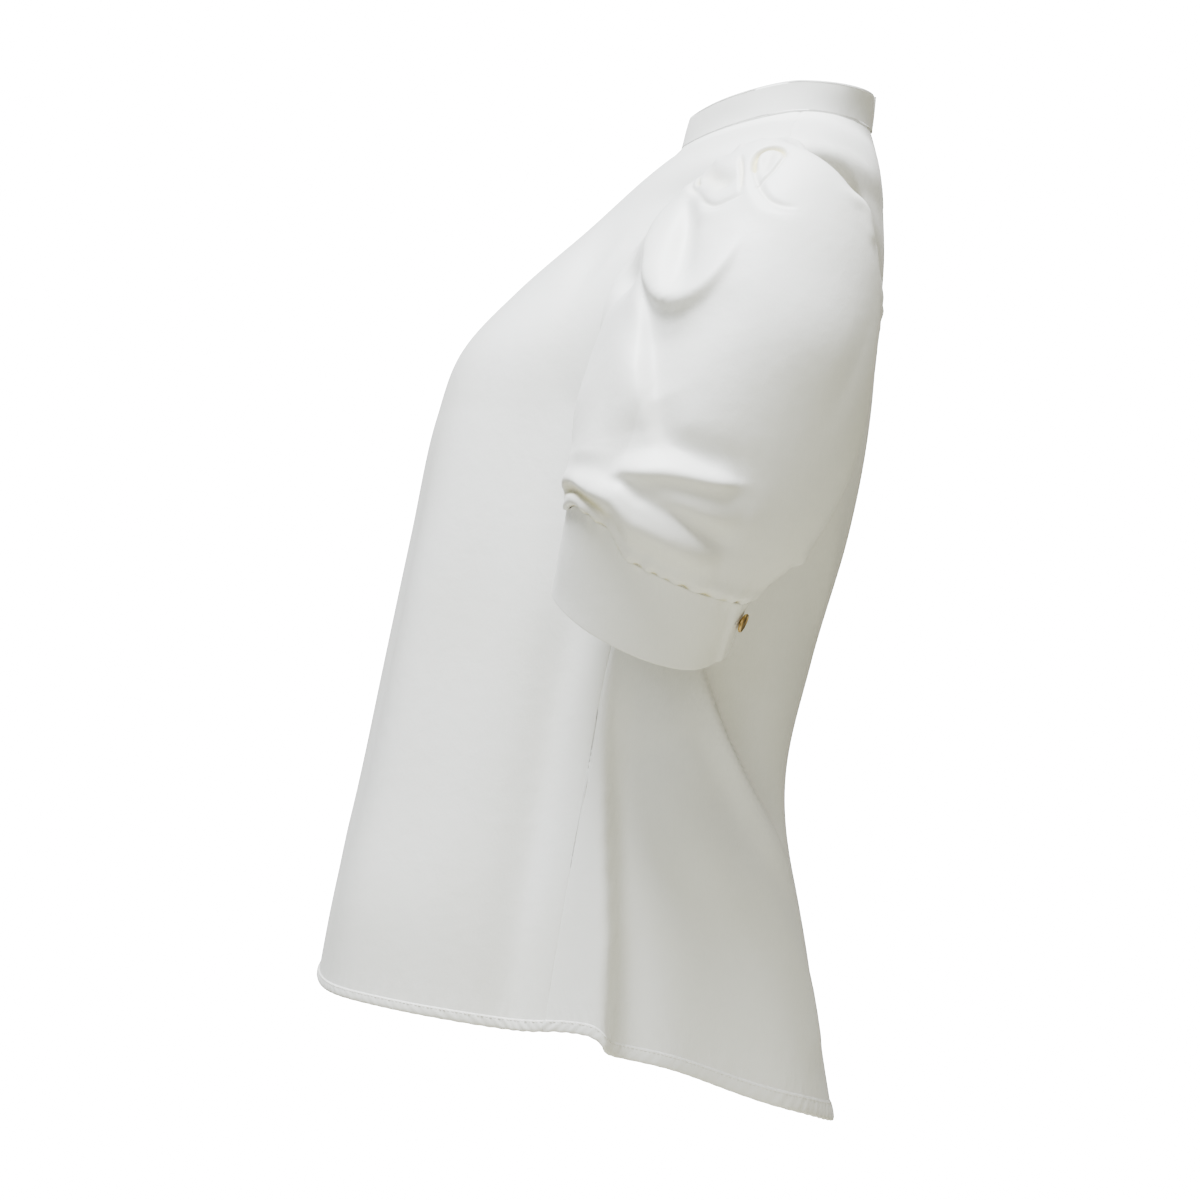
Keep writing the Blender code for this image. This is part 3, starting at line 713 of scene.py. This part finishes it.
def thread():
    """Matt sewing thread with a twisted ply."""
    look = Look("ivory thread", IOR=1.5, Specular_IOR_Level=0.4)
    place = look.place()
    ply = look.noise(place, 2600.0, 2.0)
    colour = look.blended(ply, (0.80, 0.79, 0.74, 1.0), (0.66, 0.64, 0.56, 1.0))
    return look.finish(Base_Color=colour, Roughness=0.5 + ply * 0.25, Normal=look.bump(ply, 0.00008))


def old_gold():
    """Brushed, slightly tarnished gold-coloured metal."""
    look = Look("old gold", Metallic=1.0, IOR=1.5)
    place = look.place()
    tarnish = look.noise(place, 260.0, 4.0)
    fine = look.noise(place, 2400.0, 3.0)
    colour = look.blended(
        (tarnish * 2.4 - 0.75).clipped(), (0.56, 0.38, 0.14, 1.0), (0.27, 0.17, 0.06, 1.0)
    )
    return look.finish(
        Base_Color=colour, Roughness=0.22 + tarnish * 0.2 + fine * 0.06, Normal=look.bump(fine, 0.00003)
    )


SATIN, THREAD, GOLD = satin(), thread(), old_gold()

# -------------------- body

HEM_UP = 1.0  # the panels start just inside the rolled hem


def body_heights():
    below = np.linspace(HEM_UP, UNDERARM_UP, 96)
    beside = ARMHOLE_MIDDLE + ARMHOLE_HALF * np.cos(np.linspace(math.pi, 0, 76)[1:])
    above = np.linspace(SHOULDER_UP, NECK_UP, 24)[1:-1]
    parts = (below[:1], HEM_UP + EDGE_STEPS, below[1:], beside, above, NECK_UP - EDGE_STEPS[::-1], [NECK_UP])
    return np.concatenate(parts)


def panel_edge(up, middle):
    """How many degrees from the side line a panel ends, at the armhole or just past the side seam."""
    side = 1 if middle == "front" else -1
    reach = smooth_through(up, BODY["up"], np.abs(BODY[f"{middle}_y"] - BODY["side_y"]))
    return armhole_reach(up, side) - np.degrees(SEAM_LAP / 2 / reach)


def from_armhole(turn, up):
    """0 at the armhole's edge, and 1 away from it."""
    distance = np.hypot((np.abs(turn) - 90) / 33, (up - ARMHOLE_MIDDLE) / ARMHOLE_HALF)
    return smooth_step((distance - 1.0) / 0.35)


def dressed_body(turn, up):
    """The body with its swells and creases, on a grid of rows and columns."""
    turn, up = np.broadcast_arrays(turn, up)
    bare = body_point(turn, up)
    step_turn, step_down = HEM_STEP
    step = turn - np.sign(turn) * step_turn
    bare[..., 2] -= step_down * np.tanh(step * np.sign(turn) / 1.2) * bell(step, 11) * np.exp(-up / 55)
    swelled = raised(bare, waves(turn / 90, up / 260, 0.35, 3))
    creased, _ = with_creases(swelled, body_point, BODY_CREASES)
    return bare + (creased - bare) * from_armhole(turn, up)[..., None]


def body_panel(turn, up):
    """A panel's points, a little sunk along its seams, and how much its hem draws it in."""
    points = dressed_body(turn, up)
    over = running_length(points, 1)
    from_seam = np.minimum(over, over[:, -1:] - over)
    sunk = np.where((up < UNDERARM_UP - 4) | (up > SHOULDER_UP + 3), 0.5, 0.0)
    return raised(points, -sunk * bell(from_seam, 1.6)), np.exp(-np.broadcast_to(up, turn.shape) / 13)


def make_body():
    up = body_heights()[:, None]
    share = steps_between((-1, 0, 1), (76, 76), 300)[None, :]
    edge = 90 - panel_edge(up, "front")
    front, pull = body_panel(90 * share - (90 - edge) * share**3, up)
    made = {"front": cloth_shell("front_panel", front, CLOTH_WALL, pull)}
    share = steps_between((0, 1), (80,), 300)[None, :]
    edge = 90 + panel_edge(up, "back")
    for side, label in ((1, "left"), (-1, "right")):
        turn = side * (180 - 90 * share + (edge - 90) * share**3)
        back, pull = body_panel(turn, up)
        open_share = smooth_step((up[:, 0] - NECK_UP + BACK_SLIT_LENGTH) / 6)
        back[..., 0] = side * np.maximum(side * back[..., 0], -SEAM_LAP / 2)
        back[:, 0, 0] = side * (-SEAM_LAP / 2 + (SEAM_LAP + BACK_SLIT_GAP * 0.6) / 2 * open_share)
        made[f"back_{label}"] = cloth_shell(f"{label}_back_panel", back, CLOTH_WALL, pull)
    return made


body = make_body()

# -------------------- sleeves


def gathers(round_arm, along):
    """Uneven gathers that fade away from the cuff seam, and the painted shadow in their narrow valleys by
    the seam.
    """
    place = round_arm * 0.9
    uneven = place + 2.6 * np.sin(place / 17.0) + 1.7 * np.sin(place / 7.9 + 1.0)
    ridges = np.sin(math.tau * uneven / 10.6) + 0.6 * np.sin(math.tau * uneven / 15.7 + 1.3)
    ridges = ridges * (1 - bell(round_arm - 88, 14))
    from_seam = (1 - along) * SLEEVE_LENGTH
    depth = 0.5 * bell(from_seam, 15) + 0.5 * bell(from_seam, 6)
    flatter = 1 - 0.4 * bell(round_arm - 95, 18)
    swell = depth * ridges + 2.4 * flatter * bell(from_seam - 9, 7)
    # the second value is painted shadow: dull yellow in the valleys between gathers right at the seam
    return swell, 1.2 * np.clip(0.1 - ridges, 0, 1) * bell(from_seam, 3.4)


def make_sleeve(label, forms, details, seed):
    round_arm = steps_between((-180, -78, -24, -8, 52, 106, 180), (20, 26, 14, 96, 36, 14), 1.35)
    along = steps_between(
        (0, 0.05, 0.14, 0.34, 0.62, 0.74, 0.96, 1), (9, 12, 84, 26, 14, 58, 12), SLEEVE_LENGTH
    )
    round_arm, along = round_arm[None, :], along[:, None]
    points = sleeve_point(round_arm, along)
    free = smooth_step(along / 0.10) * smooth_step((1 - along) / 0.05)
    swell = waves(round_arm / 110, along * 1.6, 0.6, seed) * free
    gathered, painted_shade_amount = gathers(round_arm, along)
    points = raised(points, swell + gathered)
    for creases in (forms, details):
        moved, shade = with_creases(points, sleeve_point, creases)
        # painted shade: the stronger of the gathers' and the creases' painted shade at each point
        painted_shade_amount = np.maximum(painted_shade_amount, shade)
        held = smooth_step(along / 0.05) * smooth_step((1 - along) / 0.03)
        points = points + (moved - points) * held[..., None]
    from_cuff = (1 - along) * SLEEVE_LENGTH
    roll = 1.5 * (1 - np.sqrt(1 - (1 - np.clip(from_cuff / 3.0, 0, 1)) ** 2))
    points = raised(points, -roll)
    points = points + cuff_rings(round_arm)[2] * smooth_step((along - 0.75) / 0.25)[..., None]
    pull = np.exp(-from_cuff / 9) + 0.5 * np.exp(-along * SLEEVE_LENGTH / 9)
    return cloth_shell(f"{label}_puff_sleeve", points * FLIPS[label], CLOTH_WALL, pull, painted_shade_amount)


RIGHT_FORMS, RIGHT_DETAILS = varied(SLEEVE_FORMS, 0.92, 2.5, 0.008), varied(SLEEVE_DETAILS, 0.9, 1.5, 0.004)
sleeves = {
    "left": make_sleeve("left", SLEEVE_FORMS, SLEEVE_DETAILS, 11),
    "right": make_sleeve("right", RIGHT_FORMS, RIGHT_DETAILS, 12),
}

# -------------------- cuffs and collar


def cuff_points(travelled, height):
    """The left cuff at degrees travelled from its under end and at a share of its height."""
    travelled, height = np.broadcast_arrays(np.asarray(travelled, float), np.asarray(height, float))
    round_arm = CUFF_START_TURN - travelled
    lower, upper, climb = cuff_rings(round_arm)
    down = lower - upper
    upper = upper - unit(down) * CUFF_SEAM_LAP + climb
    for corner in (372, 12):
        lower = lower - down * (CUFF_CORNER_RISE * bell(travelled - corner, 26))[..., None]
    lift = (BAND_WALL + 0.3) * smooth_step((travelled - 350) / 8)
    return raised(lower + (upper - lower) * height[..., None], lift)


def make_cuff(label, seed):
    travelled = steps_between((0, 340, 362, 360 + CUFF_LAP_TURN), (150, 26, 18), 0.95)[None, :]
    height = steps_between((0, 1), (26,), CUFF_HEIGHT)[:, None]
    uneven = waves(travelled / 70, height * 0.8, 0.45, seed)
    drawn = 0.28 * np.sin(travelled * 0.9 * math.tau / 11.5 + 1.5 * np.sin(travelled / 19))
    points = raised(cuff_points(travelled, height), uneven + drawn * np.exp(-(1 - height) * 8))
    pull = 0.5 * np.exp(-(1 - height) * CUFF_HEIGHT / 6) + 0.18 * np.exp(-height * CUFF_HEIGHT / 5)
    return cloth_shell(f"{label}_cuff", points * FLIPS[label], BAND_WALL, pull)


cuffs = {"left": make_cuff("left", 21), "right": make_cuff("right", 22)}


def make_collar():
    turn = steps_between((-180, 0, 180), (110, 110), 1.08)[None, :]
    height = steps_between((0, 1), (22,), COLLAR_HEIGHT)[:, None]
    turn, height = np.broadcast_arrays(turn, height)
    lower = body_point(turn, NECK_UP) - np.array([0, 0, 0.15])
    upper = oval(turn, COLLAR_TOP_SIDE, COLLAR_TOP_FRONT, COLLAR_TOP_BACK, COLLAR_FRONT_POWER)
    points = lower + (upper - lower) * height[..., None]
    points = raised(points, waves(turn / 60, height * 0.6, 0.4, 31))
    points[:, 0, 0] = -BACK_SLIT_GAP * 0.3
    points[:, -1, 0] = BACK_SLIT_GAP * 0.3
    pull = 0.4 * np.exp(-height * COLLAR_HEIGHT / 4) + 0.12 * np.exp(-(1 - height) * COLLAR_HEIGHT / 3)
    return cloth_shell("stand_collar", points, BAND_WALL, pull)


collar = make_collar()

# -------------------- rolled hems


HEM_SECTION = (  # height above the edge, and how far it stands out from the panel
    (HEM_HEIGHT, -0.3), (6.9, 0.1), (6.4, 0.35), (5.2, 0.6), (3.6, 0.75), (2.0, 0.75), (0.8, 0.55),
    (0.2, 0.2), (0.0, -0.6), (0.3, -1.5), (1.2, -2.0), (3.0, -2.2), (4.8, -2.1), (6.2, -1.9), (6.8, -1.4),
)


def rolled_hem(name, turn, seed):
    """A narrow hem rolled inwards, drawn into slanting puckers by its stitching."""
    up, stand = np.array(HEM_SECTION).T[..., None]
    grid = dressed_body(turn[None, :], np.array([[0.0], [3.5], [7.0]]))
    normals = outward_normals(grid)[1]
    points = grid[0] + (grid[2] - grid[0]) * (up / HEM_HEIGHT)[..., None]
    place = running_length(grid[:1], 1)
    chance = np.random.default_rng(seed)
    phases = chance.uniform(0, math.tau, 4)
    slant = place + up * 0.9
    uneven = slant + 2.2 * np.sin(slant / 13 + phases[0]) + 1.3 * np.sin(slant / 31 + phases[1])
    strong = 0.65 + 0.35 * np.sin(slant / 47 + phases[2])
    ridges = np.sin(math.tau * uneven / 6.6) + 0.4 * np.sin(math.tau * uneven / 10.9 + phases[3])
    drawn = 0.42 * strong * ridges * np.sin(math.pi * np.clip(up / HEM_HEIGHT, 0, 1) * 0.92 + 0.12)
    out = stand + np.where(stand > -0.5, drawn, 0.3 * drawn)
    level = points + normals * out[..., None]
    level[..., 2] += 0.25 * strong * np.sin(math.tau * uneven / 8.3) * (up < 1.5)
    rows, columns = level.shape[:2]
    shape = bmesh.new()
    verts = [[shape.verts.new(point * MM) for point in row] for row in level]
    for row in range(rows):
        over = (row + 1) % rows
        for column in range(columns - 1):
            lower, upper = verts[row][column : column + 2], verts[over][column : column + 2]
            shape.faces.new(lower + upper[::-1])
    for column in (0, columns - 1):
        shape.faces.new([verts[row][column] for row in range(rows)])
    bmesh.ops.recalc_face_normals(shape, faces=shape.faces)
    flat = np.stack(np.broadcast_arrays(place, up), axis=-1).reshape(-1, 2) * MM
    none = np.zeros(rows * columns)
    return as_cloth(plain_mesh(name, shape), flat, none, none)


HEMS = (  # node, name, the hem's first and last turn and its columns, the same of its stitching, seed
    ("front", "front", (-89.97, 89.97, 620), (-89.5, 89.5, 700), 41),
    ("back_left", "left_back", (179.96, 90.03, 330), (179.5, 90.5, 400), 42),
    ("back_right", "right_back", (-179.96, -90.03, 330), (-179.5, -90.5, 400), 43),
)
hems = {node: rolled_hem(f"{name}_hem", np.linspace(*hem), seed) for node, name, hem, _, seed in HEMS}

# -------------------- buttons and stitches

BUTTON_PROFILE = (  # radius and height, from the foot of the shank to the middle of the face
    (0.0, 0.0), (1.3, 0.0), (1.6, 0.2), (1.5, 0.7), (2.0, 0.95), (4.6, 1.0), (5.3, 1.2), (5.8, 1.6),
    (6.0, 2.15), (5.95, 2.7), (5.7, 3.1), (5.2, 3.3), (4.7, 3.25), (4.35, 3.0), (4.1, 2.82), (3.7, 2.9),
    (2.8, 3.06), (1.6, 3.16), (0.7, 3.2), (0.0, 3.2),
)
BUTTON_LIFT = 0.4
BUTTONHOLE = (7.4, 1.25)  # half its length and half its width


def cuff_button_seat():
    """Where the left cuff's button stands, the way that it faces, and the way that the cuff runs."""
    levels = np.array([[0.0], [0.5], [1.0]])
    grid = cuff_points(np.array([[-3.0, 0.0, 3.0]]) + 360 + CUFF_BUTTON_TURN, levels)
    facing = np.cross(grid[2, 1] - grid[0, 1], grid[1, 2] - grid[1, 0])
    facing /= np.linalg.norm(facing)
    seat = grid[0, 1] + (grid[2, 1] - grid[0, 1]) * CUFF_BUTTON_HEIGHT
    arm = cuff_points(np.arange(0.0, 360.0, 10.0)[None, :], levels).mean(axis=(0, 1))
    length = grid[1, 2] - grid[1, 0]
    return seat, facing * np.sign(facing @ (seat - arm)), length / np.linalg.norm(length)


def cuff_button(name, seat, facing):
    shape = bmesh.new()
    verts = [shape.verts.new((radius * MM, 0, height * MM)) for radius, height in BUTTON_PROFILE]
    edges = [shape.edges.new(pair) for pair in zip(verts, verts[1:])]
    spun = {"cent": (0, 0, 0), "axis": (0, 0, 1), "angle": math.tau, "steps": 56, "use_merge": True}
    bmesh.ops.spin(shape, geom=verts + edges, **spun)
    bmesh.ops.remove_doubles(shape, verts=shape.verts, dist=1e-6)
    bmesh.ops.recalc_face_normals(shape, faces=shape.faces)
    turned = Vector(facing).to_track_quat("Z", "Y").to_matrix().to_4x4()
    bmesh.ops.transform(shape, matrix=turned, verts=shape.verts)
    bmesh.ops.translate(shape, vec=Vector(seat + facing * BUTTON_LIFT) * MM, verts=shape.verts)
    mesh = plain_mesh(name, shape)
    mesh.shade_smooth()
    mesh.materials.append(GOLD)
    return placed(name, mesh)


def stitch_tree():
    """Geometry nodes that lay one stitch at each step along a line, in its own direction "way"."""
    tree = bpy.data.node_groups.new("row of stitches", "GeometryNodeTree")
    face = tree.interface
    face.new_socket("Line", in_out="INPUT", socket_type="NodeSocketGeometry")
    sizes = {"Step": 0.0026, "Stitch length": 0.0019, "Thread": 0.0003, "Unevenness": 0.12}
    for label, value in sizes.items():
        face.new_socket(label, in_out="INPUT", socket_type="NodeSocketFloat").default_value = value
    face.new_socket("Seed", in_out="INPUT", socket_type="NodeSocketInt").default_value = 7
    face.new_socket("Finish", in_out="INPUT", socket_type="NodeSocketMaterial")
    face.new_socket("Stitches", in_out="OUTPUT", socket_type="NodeSocketGeometry")
    given = {socket.name: Wire(tree, socket) for socket in tree.nodes.new("NodeGroupInput").outputs[:-1]}

    def node(kind, settings=(), inputs=(), output=0):
        return Look.add(tree, kind, settings, inputs, output)

    line = node("GeometryNodeMeshToCurve", {}, {"Mesh": given["Line"]})
    spaced = node("GeometryNodeResampleCurve", {"mode": "LENGTH"}, {"Curve": line, "Length": given["Step"]})
    bead = node("GeometryNodeMeshUVSphere", {}, {"Segments": 6, "Rings": 5, "Radius": 1.0}, "Mesh")
    half = {0: given["Thread"], 1: given["Thread"], 2: given["Stitch length"] * 0.5}
    size = node("ShaderNodeCombineXYZ", {}, half)
    bead = node("GeometryNodeTransform", {}, {"Geometry": bead, "Scale": size})
    vector = {"data_type": "FLOAT_VECTOR"}
    way = node("GeometryNodeInputNamedAttribute", vector, {"Name": "way"}, "Attribute")
    ends = {0: (-1.0, -1.0, -1.0), 1: (1.0, 1.0, 1.0), "Seed": given["Seed"]}
    chance = node("FunctionNodeRandomValue", vector, ends)
    nudge = node("ShaderNodeVectorMath", {"operation": "SCALE"}, {0: chance, "Scale": given["Unevenness"]})
    way = node("ShaderNodeVectorMath", {"operation": "ADD"}, {0: way, 1: nudge})
    turned = node("FunctionNodeAlignRotationToVector", {"axis": "Z"}, {"Vector": way})
    laid = node("GeometryNodeInstanceOnPoints", {}, {"Points": spaced, "Instance": bead, "Rotation": turned})
    real = node("GeometryNodeRealizeInstances", {}, {"Geometry": laid})
    done = node("GeometryNodeSetMaterial", {}, {"Geometry": real, "Material": given["Finish"]})
    out = tree.nodes.new("NodeGroupOutput")
    tree.links.new(done.socket, out.inputs["Stitches"])
    return tree


STITCHES = stitch_tree()


def stitch_row(name, line, ways, **sizes):
    """A row of stitches as one plain mesh, from its points in millimetres and each stitch's way."""
    mesh = bpy.data.meshes.new(name)
    mesh.from_pydata(line * MM, [(i, i + 1) for i in range(len(line) - 1)], [])
    ways = ways.astype(np.float32).ravel()
    mesh.attributes.new("way", "FLOAT_VECTOR", "POINT").data.foreach_set("vector", ways)
    path = placed(name + "_line", mesh)
    nodes = path.modifiers.new("stitches", "NODES")
    nodes.node_group = STITCHES
    sockets = {
        item.name: item.identifier for item in STITCHES.interface.items_tree if item.in_out == "INPUT"
    }
    nodes[sockets["Finish"]] = THREAD
    for label, value in sizes.items():
        nodes[sockets[label.replace("_", " ")]] = value
    seen = path.evaluated_get(bpy.context.evaluated_depsgraph_get())
    made = placed(name, bpy.data.meshes.new_from_object(seen))
    made.data.name = name
    bpy.data.objects.remove(path)
    made.data.shade_smooth()
    return made


def hem_stitches(turn):
    """The line of stitching near the top of the hem, on its outside."""
    grid = dressed_body(turn[None, :], np.array([[4.6], [5.9], [7.2]]))
    line = grid[1] + outward_normals(grid)[1] * 0.52
    return line, unit(np.gradient(line, axis=0))


def buttonhole(seat, facing, length):
    """Close bar stitches round the slit that the button comes through."""
    upward = np.cross(facing, length)
    angle = np.linspace(0, math.tau, 90)
    lengthwise, crosswise = np.cos(angle)[:, None], np.sin(angle)[:, None]
    half_long, half_wide = BUTTONHOLE
    line = seat + length * (half_long * lengthwise) + upward * (half_wide * crosswise) + facing * 0.12
    return line, unit(length * (0.25 * lengthwise) + upward * crosswise)


seat, facing, length = cuff_button_seat()
buttons, holes = {}, {}
for label, flip in FLIPS.items():
    buttons[label] = cuff_button(f"{label}_cuff_button", seat * flip, facing * flip)
for label, flip in FLIPS.items():
    ring = buttonhole(seat * flip, facing * flip, length * flip)
    holes[label] = stitch_row(f"{label}_buttonhole", *ring, Step=0.00045, Stitch_length=0.0017)
seams = {
    node: stitch_row(f"{name}_hem_stitches", *hem_stitches(np.linspace(*row)))
    for node, name, _, row, _ in HEMS
}

# -------------------- what each piece stands for


def put_on(piece, slot, *nodes):
    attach(piece, "root")
    if nodes:
        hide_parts(*nodes)


for node, panel in body.items():
    put_on(panel, "satin", node)
for node in hems:
    put_on(hems[node], "satin")
    put_on(seams[node], "satin")
for label in ("left", "right"):
    put_on(sleeves[label], "satin", f"sleeve_{label}")
    put_on(cuffs[label], "satin", f"cuff_{label}")
    put_on(buttons[label], "brass", f"cuff_button_{label}")
    put_on(holes[label], "satin")
put_on(collar, "satin", "collar")

CUTS = (  # piece, width and length in metres, how it is held, what holds it, what goes with it
    (body["front"], 0.62, 0.66, "hung", ["collar"], [hems["front"], seams["front"]]),
    (body["back_left"], 0.32, 0.66, "hung", ["collar"], [hems["back_left"], seams["back_left"]]),
    (body["back_right"], 0.32, 0.66, "hung", ["collar"], [hems["back_right"], seams["back_right"]]),
    (sleeves["left"], 0.50, 0.36, "gathered", ["front", "back_left"], []),
    (sleeves["right"], 0.50, 0.36, "gathered", ["front", "back_right"], []),
    (cuffs["left"], 0.37, 0.055, "stretched", ["sleeve_left"], [holes["left"]]),
    (cuffs["right"], 0.37, 0.055, "stretched", ["sleeve_right"], [holes["right"]]),
    (collar, 0.39, 0.025, "stretched", ["front", "back_left", "back_right"], []),
)
for piece, wide, long, held, holder, carried in CUTS:
    cut = min(piece["cloth_area"], wide * long)

# -------------------- stage, light and camera


FLOOR_LEVEL, FLOOR_RADIUS = -1.42, 3.0
BLOUSE_MIDDLE = (0.1, -0.15, -0.3)
CAMERA_AWAY = 2.7
VIEW_MIDDLE = (-0.1235, -0.3113)
VIEW_WIDTH = 0.78  # how much the frame takes in, at the blouse's middle


def aimed(made, place, target):
    made.location = place
    made.rotation_euler = (Vector(target) - Vector(place)).to_track_quat("-Z", "Y").to_euler()
    return made


def make_floor():
    shape = bmesh.new()
    bmesh.ops.create_circle(shape, cap_ends=True, segments=96, radius=FLOOR_RADIUS)
    mesh = plain_mesh("floor", shape)
    look = Look("pale floor", Roughness=0.7)
    place = look.place()
    grain = look.noise(place, 30.0, 4.0)
    colour = look.blended(grain, (0.53, 0.51, 0.38, 1.0), (0.57, 0.55, 0.42, 1.0))
    mesh.materials.append(look.finish(Base_Color=colour))
    mesh.transform(Matrix.Translation((0, 0, FLOOR_LEVEL)))
    return placed("floor", mesh)


make_floor()

LIGHTS = (  # name, place, size, power, colour
    ("key", (0.85, -0.55, 2.5), 1.4, 362, (0.945, 0.975, 1.0)),
    ("top light", (0.1, 0.3, 2.7), 1.4, 132, (0.955, 0.98, 1.0)),
    ("front fill", (2.6, -1.6, 0.8), 2.0, 36, (0.92, 0.965, 1.0)),
    ("side fill", (2.9, 0.6, 0.0), 2.2, 17, (1.0, 0.97, 0.76)),
    ("back fill", (1.2, 2.6, 0.6), 2.2, 13, (1.0, 0.96, 0.72)),
    ("far fill", (-2.4, 1.8, 0.6), 2.2, 6, (1.0, 0.96, 0.82)),
)
for name, place, size, power, colour in LIGHTS:
    lamp = bpy.data.lights.new(name, "AREA")
    lamp.shape, lamp.size, lamp.energy, lamp.color = "DISK", size, power, colour
    aimed(placed(name, lamp), place, BLOUSE_MIDDLE)

world = bpy.data.worlds.new("studio")
bpy.context.scene.world = world
world.use_nodes = True
sky = world.node_tree
sky.nodes.clear()
ambient = Look.add(sky, "ShaderNodeBackground", {}, {"Color": (1.0, 0.95, 0.74, 1.0), "Strength": 0.04})
paper = Look.add(sky, "ShaderNodeBackground", {}, {"Color": (1.0, 1.0, 1.0, 1.0), "Strength": 20.0})
seen = Look.add(sky, "ShaderNodeLightPath", {}, {}, "Is Camera Ray")
both = Look.add(sky, "ShaderNodeMixShader", {}, {0: seen, 1: ambient, 2: paper})
sky.links.new(both.socket, sky.nodes.new("ShaderNodeOutputWorld").inputs["Surface"])

lens = bpy.data.cameras.new("camera")
lens.sensor_width = 36.0
lens.lens = 36.0 * CAMERA_AWAY / VIEW_WIDTH
camera = aimed(placed("camera", lens), (CAMERA_AWAY, *VIEW_MIDDLE), (0.0, *VIEW_MIDDLE))
bpy.context.scene.camera = camera
